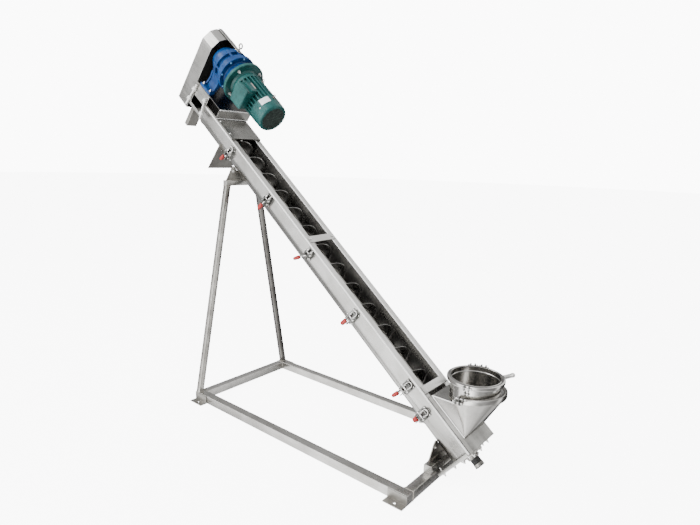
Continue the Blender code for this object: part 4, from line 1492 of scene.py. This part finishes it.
@dataclass
class Motor:
    """Green finned motor with its adapter flange, terminal box, cowl, grille and bare plates."""

    shop: Workshop
    axes: Axes
    height: float = 0.308
    core: float = 0.090
    fin_top: float = 0.113
    fin_count: int = 24
    frame_ends: tuple = (2.402, 2.640)
    cowl_end: float = 2.284
    flange_start: float = 2.690
    plate_sheet: float = 0.0016

    def build(self) -> None:
        """Build every green piece and the plates on them."""
        finishes = self.shop.finishes
        centre = (0, 0, self.height)
        flange = [(self.flange_start, 0.130), (self.flange_start, 0.157), (2.693, 0.161), (2.713, 0.161),
                  (2.716, 0.158), (2.716, 0.0), (2.700, 0.0)]
        self.shop.piece("motor_flange", [turned(self.axes, flange, centre, (1, 0, 0), 96)], finishes.green,
                        replaces=("adapter_flange",), edge=0.001)
        bell = [(2.632, 0.0), (2.632, 0.112), (2.640, 0.1135), (2.656, 0.1135), (2.660, 0.108),
                (2.672, 0.106), (2.680, 0.1095), (2.6895, 0.116), (2.6895, 0.0)]
        shield = [(2.395, 0.0), (2.395, 0.112), (2.408, 0.112), (2.412, 0.100), (2.412, 0.0)]
        body = [self.finned(), turned(self.axes, bell, centre, (1, 0, 0), 96),
                turned(self.axes, shield, centre, (1, 0, 0), 72)]
        self.shop.piece("motor_body", body, finishes.green, replaces=("motor",), edge=0.0007)
        end = self.cowl_end
        cowl = [(end + 0.008, 0.0), (end + 0.008, 0.086), (end + 0.0005, 0.090), (end, 0.094),
                (end + 0.003, 0.102), (end + 0.009, 0.1075), (end + 0.018, 0.1105), (2.320, 0.1115),
                (2.396, 0.114), (2.400, 0.1138), (2.400, 0.110), (2.340, 0.108), (2.340, 0.0)]
        self.shop.piece("fan_cowl_shell", [turned(self.axes, cowl, centre, (1, 0, 0), 96)], finishes.green,
                        replaces=("fan_cowl",), edge=0.0006)
        self.shop.piece("cowl_grille", self.grille(), finishes.grille)
        self.shop.piece("terminal_box_case", self.terminal_box(), finishes.green, replaces=("terminal_box",),
                        edge=0.0012)
        self.hardware()
        self.plates()

    def finned(self) -> Patch:
        """Fin outline pushed along: the radius steps between core and fin top as the angle goes round."""
        angle = circle(self.fin_count * 12, 0.5 * np.pi)
        phase = (angle * self.fin_count / TURN) % 1.0
        rise = np.clip((0.24 - np.abs(phase - 0.5)) / 0.06, 0.0, 1.0)
        radius = self.core + (self.fin_top - self.core) * rise
        outline = np.array([0.0, self.height]) + radius[:, None] * spokes(angle)
        return prism(self.axes, outline, Along.FIRST, *self.frame_ends)

    def grille(self) -> list[Patch]:
        """Dark disc with round bars and spokes in front of the fan."""
        face = self.cowl_end + 0.0035
        patches = [turned(self.axes, [(0.0045, 0.0), (0.0045, 0.088), (0.006, 0.088), (0.006, 0.0)],
                          (self.cowl_end, 0, self.height), (1, 0, 0), 72)]
        for radius in np.linspace(0.018, 0.082, 7):
            path = np.stack([on_circle(face, self.height, radius, angle) for angle in circle(72)])
            patches.append(rod(self.axes, path, 0.0021, closed=True, sides=8))
        for angle in circle(12):
            ends = np.array([on_circle(face, self.height, radius, angle) for radius in (0.010, 0.089)])
            patches.append(rod(self.axes, ends, 0.0019, sides=8))
        return patches

    def terminal_box(self) -> list[Patch]:
        """Rounded box with a lid, its cable gland and the pad under it."""
        low, high, out = (2.461, 0.239), (2.588, 0.388), (0.108, 0.150, 0.1535, 0.170)
        case = rounded(rectangle(low[::-1], high[::-1]), 0.018, 7)
        middle = case.mean(axis=0)
        lid = middle + (case - middle) * 1.035
        top = middle + (case - middle) * 0.93
        patches = [prism(self.axes, case, Along.SECOND, out[0], out[1])]
        rows = ((out[1], lid), (out[2] + 0.010, lid), (out[3], top))
        points = np.stack([np.column_stack((ring[:, 1], np.full(len(ring), level), ring[:, 0]))
                           for level, ring in rows])
        patches.append(Patch(self.axes.place(points)))
        pad = [(2.466, 0.080, 0.243), (2.588, 0.126, 0.401)]
        patches.append(block(self.axes, pad[0], pad[1], Along.SECOND, 0.008))
        gland = [(0.0, 0.013), (0.010, 0.013), (0.012, 0.010), (0.022, 0.010), (0.024, 0.007), (0.026, 0.0)]
        patches.append(turned(self.axes, gland, (2.545, 0.130, low[1] + 0.002), (0, 0, -1), 20))
        for along in (2.470, 2.578):
            for up in (0.252, 0.374):
                screw = [(0.0, 0.0045), (0.0025, 0.0045), (0.0035, 0.003), (0.0035, 0.0)]
                patches.append(turned(self.axes, screw, (along, 0.1675, up), (0, 1, 0), 14))
        return patches

    def hardware(self) -> None:
        """Flange bolts, cowl screws and the two lifting eyes."""
        finishes = self.shop.finishes
        flange_bolt = Fastener(hexagon=0.0095, height=0.008, washer=0.012, stud=0.012, stud_radius=0.0055)
        heads = bolt_ring(self.axes, flange_bolt, (self.flange_start, self.height), 0.132,
                          circle(4, np.radians(43)), -1)
        cowl_screw = Fastener(hexagon=0.005, height=0.003, washer=0.0065, washer_height=0.001)
        for angle in circle(4, np.radians(20)):
            place = on_circle(2.345, self.height, 0.1120, angle)
            heads += cowl_screw.at(self.axes, place, (0, np.cos(angle), np.sin(angle)))
        self.shop.piece("motor_bolts", heads, finishes.bright, edge=0.0005)
        eyes = []
        for foot in ((2.579, -0.045, 0.408), (2.376, 0.0, 0.4205)):
            eyes += EyeBolt(foot, ring=0.008, bar=0.003, neck=0.006).patches(self.axes)
        self.shop.piece("motor_eyebolts", eyes, finishes.cast)

    def plates(self) -> None:
        """Bare nameplate on the frame and bare label on the cowl, curved to the surface they lie on."""
        finishes = self.shop.finishes
        for name, ends, sweep, radius, finish in (
                ("nameplate", (2.498, 2.563), (30, 54), 0.1170, finishes.nameplate),
                ("cowl_label", (2.348, 2.398), (32, 70), 0.1150, finishes.label)):
            angle = np.radians(np.linspace(*sweep, 18))
            middle = np.array([0.0, self.height])
            rings = [middle + size * spokes(angle) for size in (radius - self.plate_sheet, radius)]
            outline = np.concatenate((rings[0], rings[1][::-1]))
            self.shop.piece(name, [prism(self.axes, outline, Along.FIRST, *ends)], finish)


@dataclass
class Hopper:
    """Neck that flares from a square foot to a round-fronted deck, with its tube, bands and lever.

    Each latch has its direction in degrees, its radius and its height.
    """

    shop: Workshop
    axes: Axes
    middle_x: float
    tube: float = 0.1415
    sheet: float = 0.003
    rim: float = 0.656
    ring: float = 0.165
    ring_height: float = 0.024
    band: float = 0.181
    band_height: float = 0.039
    deck_rear: float = -0.206
    deck_rear_height: float = 0.515
    deck_rear_half: float = 0.128
    deck_slope: float = 0.109
    deck_radius: float = 0.168
    front_degrees: float = 102.0
    foot: tuple = (-0.172, 0.121, 0.127, 0.0306)
    latch_places: tuple = ((-81, 0.165, 0.644), (-87, 0.181, 0.583), (-93, 0.181, 0.558), (122, 0.165, 0.650),
                           (101, 0.165, 0.650))

    def deck(self, x: Array) -> Array:
        """Height of the tilted deck at a distance from the tube's axis."""
        return self.deck_rear_height + self.deck_slope * (x - self.deck_rear)

    def wall(self, angle: Array, radius: float, lift: float, level: bool = False) -> Array:
        """Ring of points on a round wall, at the deck's height or level with the rim.

        Args:
            angle: Directions round the tube's axis.
            radius: Radius of the wall.
            lift: Height above the deck or the rim.
            level: Whether the ring is level.

        Returns:
            World places.
        """
        x = radius * np.cos(angle)
        height = np.full_like(x, self.rim) if level else self.deck(x)
        return np.stack((self.middle_x + x, radius * np.sin(angle), height + lift), axis=-1)

    def directions(self) -> Array:
        """Directions of the neck's points: dense on the round front, and one at each rear corner."""
        front = np.radians(self.front_degrees)
        corner = np.arctan2(self.deck_rear_half, self.deck_rear)
        half = np.concatenate((np.linspace(0, front, 40), np.linspace(front, corner, 10)[1:],
                               np.linspace(corner, np.pi, 12)[1:-1]))
        return np.concatenate((half, [np.pi], TURN - half[:0:-1]))

    def deck_edge(self, angle: Array, inset: float) -> Array:
        """Deck outline: an arc in front, its tangents as sides and a straight rear edge.

        Args:
            angle: Directions round the tube's axis.
            inset: How far inside the sheet's outer face.

        Returns:
            World places.
        """
        turn = np.abs((angle + np.pi) % TURN - np.pi)
        front = np.radians(self.front_degrees)
        radius = self.deck_radius - inset
        reach = np.where(turn <= front, radius, radius / np.cos(np.clip(turn - front, 0, 1.2)))
        rear = (-self.deck_rear - inset) / np.maximum(-np.cos(turn), 1e-6)
        reach = np.where(turn > np.pi / 2, np.minimum(reach, rear), reach)
        x, y = reach * np.cos(angle), reach * np.sin(angle)
        return np.stack((self.middle_x + x, y, self.deck(x) - inset), axis=-1)

    def foot_edge(self, angle: Array, inset: float) -> Array:
        """Rectangle on the lid: its front corners feed the arc and its sides feed the tangents.

        Args:
            angle: Directions round the tube's axis.
            inset: How far inside the sheet's outer face.

        Returns:
            World places.
        """
        turn = (angle + np.pi) % TURN - np.pi
        side = np.sign(np.round(turn, 6))
        size = np.abs(turn)
        front, corner = np.radians(self.front_degrees), np.arctan2(self.deck_rear_half, self.deck_rear)
        low, high, half = self.foot[0] + inset, self.foot[1] - inset, self.foot[2] - inset
        share = np.clip((size - front) / (corner - front), 0, 1)
        along = low + (high - low) * share
        across = side * half * np.where(size > corner, (np.pi - size) / (np.pi - corner), 1.0)
        return self.axes.place(np.stack((along, -across, np.full_like(along, self.foot[3])), axis=-1))

    def build(self) -> None:
        """Build the sheet work, the bands, the latches and the lever."""
        finishes = self.shop.finishes
        angle = self.directions()
        sheet, tube = self.sheet, self.tube
        share = np.linspace(0.0, 1.0, 9)[:, None, None]
        outer = self.foot_edge(angle, 0.0) * (1 - share) + self.deck_edge(angle, 0.0) * share
        inner = self.foot_edge(angle, sheet) * (1 - share) + self.deck_edge(angle, sheet) * share
        rows = np.concatenate((outer, self.wall(angle, tube, 0.0)[None], self.wall(angle, tube, -sheet)[None],
                               inner[::-1]))
        self.shop.piece("neck_sheet", [Patch(rows, wrap_rows=True)], finishes.spun, replaces=("hopper_neck",),
                        edge=0.001)
        round_angle = circle(128)
        wall = [self.wall(round_angle, tube, 0.0003), self.wall(round_angle, tube + sheet, 0.0003)]
        wall += [self.wall(round_angle, tube + sheet, -0.002, True), self.wall(round_angle, tube, 0.0, True),
                 self.wall(round_angle, tube, -0.026, True), self.wall(round_angle, tube - 0.0025, -0.029,
                                                                       True),
                 self.wall(round_angle, tube - 0.0025, -0.033, True),
                 self.wall(round_angle, tube, -0.036, True)]
        self.shop.piece("tube_wall", [Patch(np.stack(wall), wrap_rows=True)], finishes.spun,
                        replaces=("hopper_tube",))
        self.shop.piece("rim_band", self.rim_band(round_angle), finishes.spun, replaces=("ring_upper",))
        self.shop.piece("deck_band", self.deck_band(), finishes.spun, replaces=("ring_lower",))
        self.shop.piece("hopper_welds", self.welds(round_angle), finishes.weld)
        self.shop.piece("neck_fold_highlights", self.folds(), finishes.painted_highlight)
        lugs, bolts = self.latches()
        self.shop.piece("band_latches", lugs, finishes.clamp, edge=0.0006)
        self.shop.piece("latch_bolts", bolts, finishes.bright, edge=0.0006)
        self.shop.piece("lever_rod", self.lever(), finishes.bright, replaces=("hopper_lever",), edge=0.0006)

    def rim_band(self, angle: Array) -> list[Patch]:
        """Rolled rim band: flat top, round outer edge and a bright lip inside."""
        inner, outer, height = self.tube + self.sheet + 0.0003, self.ring, self.ring_height
        profile = [(inner, -height), (outer - 0.005, -height), (outer - 0.0015, -height + 0.002),
                   (outer, -height + 0.006), (outer, -0.006), (outer - 0.0015, -0.002), (outer - 0.005, 0.0),
                   (inner + 0.006, 0.0), (inner + 0.004, -0.0022), (inner, -0.0022)]
        return [Patch(np.stack([self.wall(angle, radius, lift, True) for radius, lift in profile]),
                      wrap_rows=True)]

    def deck_band(self) -> list[Patch]:
        """Half band on the front of the deck, with a hollow channel between its two rolled edges."""
        angle = np.radians(np.linspace(-self.front_degrees, self.front_degrees, 90))
        inner, outer, height = self.tube + self.sheet + 0.0003, self.band, self.band_height
        profile = [(inner, 0.0004), (outer - 0.006, 0.0004), (outer - 0.002, 0.002), (outer, 0.007),
                   (outer, height - 0.010), (outer - 0.002, height - 0.004), (outer - 0.005, height - 0.001),
                   (outer - 0.010, height), (outer - 0.016, height - 0.001), (outer - 0.019, height - 0.005),
                   (outer - 0.021, height - 0.013), (inner, height - 0.015)]
        points = np.stack([self.wall(angle, radius, lift) for radius, lift in profile], axis=1)
        return [Patch(points)]

    def welds(self, angle: Array) -> list[Patch]:
        """Beads round the back of the tube's foot and round the neck's foot."""
        weld = Weld(radius=0.0022)
        rear = angle[(angle > np.radians(110)) & (angle < np.radians(250))]
        beads = [weld.bead(Axes.world(), self.wall(rear, self.tube + self.sheet, 0.001))]
        low, high, half, level = self.foot
        foot = [(low, -half, level), (high, -half, level), (high, half, level), (low, half, level),
                (low, -half, level)]
        beads.append(weld.bead(self.axes, foot))
        return beads

    def folds(self) -> list[Patch]:
        """Near-white rounded rods along both sides of the neck's foot and of the deck behind the band:
        painted highlight on those folds.
        """
        front, corner = np.radians(self.front_degrees), np.arctan2(self.deck_rear_half, self.deck_rear)
        low, high, half, level = self.foot
        beads = []
        for side in (-1, 1):
            foot = [(along, side * (half - 0.0020), level + 0.0030) for along in (low + 0.004, high - 0.004)]
            beads.append(rod(self.axes, np.array(foot), 0.0058, sides=12))
            edge = self.deck_edge(side * np.array([front, corner]), 0.0015)
            beads.append(rod(Axes.world(), edge, 0.0032, sides=12))
        return beads

    def latches(self) -> tuple[list[Patch], list[Patch]]:
        """Screw latches that close the two bands, in front and behind.

        Returns:
            Patches of the lugs, and of the bolts through them.
        """
        lugs, bolts = [], []
        for degrees, radius, height in self.latch_places:
            angle = np.radians(degrees)
            out = np.append(spokes(angle), 0.0)
            side = np.array([-out[1], out[0], 0.0])
            spot = Axes(np.array([self.middle_x, 0.0, height]) + (radius - 0.002) * out,
                        np.stack((side, out, np.array([0.0, 0.0, 1.0]))))
            for shift in (-0.013, 0.013):
                lug = rounded(np.array([[0.0, -0.012], [0.018, -0.012], [0.023, 0.0], [0.018, 0.012],
                                        [0.0, 0.012]]),
                              0.003)
                lugs.append(prism(spot, lug, Along.FIRST, shift - 0.004, shift + 0.004))
            bolt = [(-0.030, 0.0), (-0.030, 0.0055), (-0.024, 0.0055), (-0.024, 0.0032), (0.026, 0.0032),
                    (0.026, 0.0)]
            bolts.append(turned(spot, bolt, (0, 0.011, 0.0), (1, 0, 0), 14))
            wing = [(0.018, 0.007), (0.030, 0.007)]
            bolts.append(turned(spot, wing, (0, 0.011, 0.0), (1, 0, 0), 6))
        return lugs, bolts

    def lever(self) -> list[Patch]:
        """Round lever with a collar near its tip, on the same line as its CAD rod."""
        angle = np.radians(48)
        out = np.append(spokes(angle), 0.22)
        start = np.array([self.middle_x, 0.0, 0.640]) + 0.1677 * np.append(spokes(angle), 0.0)
        profile = [(0.0, 0.0), (0.0, 0.0140), (0.006, 0.0140), (0.008, 0.0128), (0.050, 0.0128),
                   (0.052, 0.0140), (0.060, 0.0140), (0.062, 0.0125), (0.067, 0.0110), (0.069, 0.008),
                   (0.069, 0.0)]
        return [turned(Axes.world(), profile, tuple(start), tuple(out), 32)]


# Studio


@dataclass(frozen=True)
class Softbox:
    """Rectangular soft light: its place, what it faces, its two sides and its watts."""

    name: str
    place: tuple
    target: tuple
    size: tuple
    watts: float


@dataclass(frozen=True)
class Belt:
    """Brightness of the surround all the way round at one height of the view.

    The stops hold degrees from +X towards +Y and a brightness. The belt takes over from the one below it
    while the upward part of the direction climbs through the rise.
    """

    rise: tuple
    stops: tuple


@dataclass(frozen=True)
class Studio:
    """Plain pale floor, soft light and the photograph's camera."""

    camera_from_corner: tuple = (3.265774, -2.228731, 1.877089)
    heading_degrees: float = 38.808
    pitch_degrees: float = 11.540
    roll_degrees: float = 1.787
    lens: float = 27.273
    sensor: float = 36.0
    floor_radius: float = 40.0
    floor_drop: float = 0.0005
    floor_tone: tuple = (0.62, 0.62, 0.62)
    floor_glow: float = 8.0
    backdrop: float = 13.0
    brightest: float = 9.0
    belts: tuple = (
        Belt((-1.0, -1.0), ((-180, 3.4), (-140, 4.2), (-100, 4.0), (-60, 2.4), (-35, 2.2), (10, 1.2),
                            (30, 0.8), (60, 1.1), (80, 1.1), (100, 0.4), (120, 0.4), (160, 2.0), (180, 3.4))),
        Belt((-0.72, -0.50), ((-180, 0.7), (-156, 0.7), (-148, 0.7), (-143, 0.85), (-138, 3.6), (-124, 4.4),
                              (-110, 4.6), (-95, 8.0), (-84, 8.0), (-70, 4.0), (-55, 1.4), (-44, 1.0),
                              (-20, 0.7), (7, 0.5), (18, 0.6), (25, 2.2), (36, 3.0), (39, 1.6), (42, 0.2),
                              (58, 0.12), (98, 0.1), (120, 0.15), (150, 0.5), (180, 0.7))),
        Belt((0.18, 0.42), ((-180, 0.8), (-150, 1.6), (-110, 2.2), (-60, 2.0), (-25, 1.2), (0, 0.9),
                            (40, 1.4), (64, 2.8), (100, 2.8), (103, 1.2), (108, 0.35), (114, 0.5),
                            (122, 0.85), (136, 0.95), (152, 0.6), (180, 0.8))),
        Belt((0.58, 0.63), ((-180, 1.0), (-168, 8.5), (-60, 8.5), (-45, 1.2), (40, 1.4), (64, 2.8),
                            (100, 2.8), (103, 1.2), (108, 0.35), (120, 0.6), (180, 1.0))),
        Belt((0.72, 0.80), ((-180, 1.2), (30, 1.4), (64, 2.4), (98, 2.4), (102, 1.2), (108, 0.5),
                            (180, 1.2))),
        Belt((0.84, 0.92), ((-180, 1.5), (180, 1.5))),
    )
    softboxes: tuple = (
        Softbox("key_light", (-2.6, -5.4, 2.6), (0.0, 0.0, 0.9), (4.5, 3.0), 260.0),
        Softbox("top_light", (-1.0, -2.2, 6.0), (0.0, 0.0, 0.8), (4.0, 4.0), 120.0),
    )

    def build(self, corner: Array) -> None:
        """Set the floor, the lights and the camera round the machine.

        Args:
            corner: The floor frame's low corner, where the camera's place is measured from.
        """
        self.floor()
        self.world()
        for softbox in self.softboxes:
            self.light(softbox)
        self.camera(corner)

    def floor(self) -> None:
        """Flat round floor with a faint mottle that looks paler to the camera than it shines on the steel."""
        recipe = Recipe("pale_floor")
        mottle = recipe.noise(recipe.place, 1.5, 3.0)
        tone = recipe.mixed(mottle, self.floor_tone, tuple(0.96 * part for part in self.floor_tone))
        ray = recipe.node("ShaderNodeLightPath", {}).outputs["Is Camera Ray"]
        recipe.tree.links.new(tone, recipe.shader.inputs["Base Color"])
        glow = recipe.math("MULTIPLY", ray, self.floor_glow)
        recipe.tree.links.new(glow, recipe.shader.inputs["Emission Strength"])
        recipe.shader.inputs["Emission Color"].default_value = (1.0, 1.0, 1.0, 1.0)
        recipe.shader.inputs["Roughness"].default_value = 0.7
        points = np.insert(self.floor_radius * spokes(circle(96)), 2, -self.floor_drop, axis=1)
        mesh = bpy.data.meshes.new("floor")
        mesh.from_pydata(points.tolist(), [], [list(range(96))])
        mesh.materials.append(recipe.material)
        floor = linked("floor", mesh)
        floor.visible_glossy = False

    def world(self) -> None:
        """Surround of soft panels and dark flags, belt above belt; the camera sees it plain and pale."""
        world = bpy.data.worlds.new("surround")
        bpy.context.scene.world = world
        world.use_nodes = True
        world.node_tree.nodes.clear()
        nodes = Nodes(world.node_tree)
        place = nodes.node("ShaderNodeTexCoord", {}).outputs["Generated"]
        split = nodes.node("ShaderNodeSeparateXYZ", {"Vector": place}).outputs
        round_share = nodes.span(nodes.math("ARCTAN2", split["Y"], split["X"]), (-np.pi, np.pi), (0.0, 1.0))
        total: object = 0.0
        for belt in self.belts:
            stops = tuple((degrees / 360 + 0.5, bright / self.brightest) for degrees, bright in belt.stops)
            glow = nodes.ramp(round_share, stops)
            if belt is self.belts[0]:
                total = glow
            else:
                total = nodes.mixed(nodes.span(split["Z"], belt.rise, (0.0, 1.0), "SMOOTHSTEP"), total, glow)
        cloud = nodes.span(nodes.noise(place, 4.0, 3.0), (0.3, 0.7), (0.75, 1.25))
        strength = nodes.math("MULTIPLY", nodes.math("MULTIPLY", total, self.brightest), cloud)
        around = nodes.node("ShaderNodeBackground", {"Strength": strength})
        plain = nodes.node("ShaderNodeBackground", {"Strength": self.backdrop})
        ray = nodes.node("ShaderNodeLightPath", {}).outputs["Is Camera Ray"]
        mix = nodes.node("ShaderNodeMixShader", {"Fac": ray, 1: around.outputs["Background"],
                                                 2: plain.outputs["Background"]})
        nodes.node("ShaderNodeOutputWorld", {"Surface": mix.outputs["Shader"]})

    def light(self, softbox: Softbox) -> None:
        """Hang one soft light so that it faces its target."""
        light = bpy.data.lights.new(softbox.name, "AREA")
        light.shape = "RECTANGLE"
        light.size, light.size_y = softbox.size
        light.energy = softbox.watts
        item = linked(softbox.name, light)
        item.visible_glossy = False
        item.location = softbox.place
        back = Vector(softbox.place) - Vector(softbox.target)
        item.rotation_euler = back.to_track_quat("Z", "Y").to_euler()

    def camera(self, corner: Array) -> None:
        """Camera that matches the photograph: turned by heading, then pitch, then roll."""
        data = bpy.data.cameras.new("camera")
        data.sensor_width = self.sensor
        data.lens = self.lens
        item = linked("camera", data)
        heading, pitch, roll = np.radians((self.heading_degrees, 90 - self.pitch_degrees, self.roll_degrees))
        turn = (Matrix.Rotation(heading, 3, "Z") @ Matrix.Rotation(pitch, 3, "X")
                @ Matrix.Rotation(roll, 3, "Z"))
        item.rotation_euler = turn.to_euler()
        item.location = corner + np.array(self.camera_from_corner)
        bpy.context.scene.camera = item


def main() -> None:
    """Load the frame, build every sub-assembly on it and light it."""
    logging.basicConfig(level=logging.INFO, format="%(message)s")
    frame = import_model()
    trough = Axes.trough(frame["joints"][0])
    shop = Workshop(frame["nodes"], Finishes())
    low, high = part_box("ring_upper")
    FloorFrame(shop).build()
    Trough(shop, trough).build()
    Screw(shop, trough).build()
    Bearings(shop, trough).build()
    ToggleClamps(shop, trough).build()
    ChainGuard(shop, trough).build()
    DriveStand(shop, trough).build()
    Reducer(shop, trough).build()
    Motor(shop, trough).build()
    Hopper(shop, trough, (low.x + high.x) / 2).build()
    Studio().build(np.array(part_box("base_rail_near")[0]))
    bpy.context.view_layer.update()


if __name__ == "__main__":
    main()
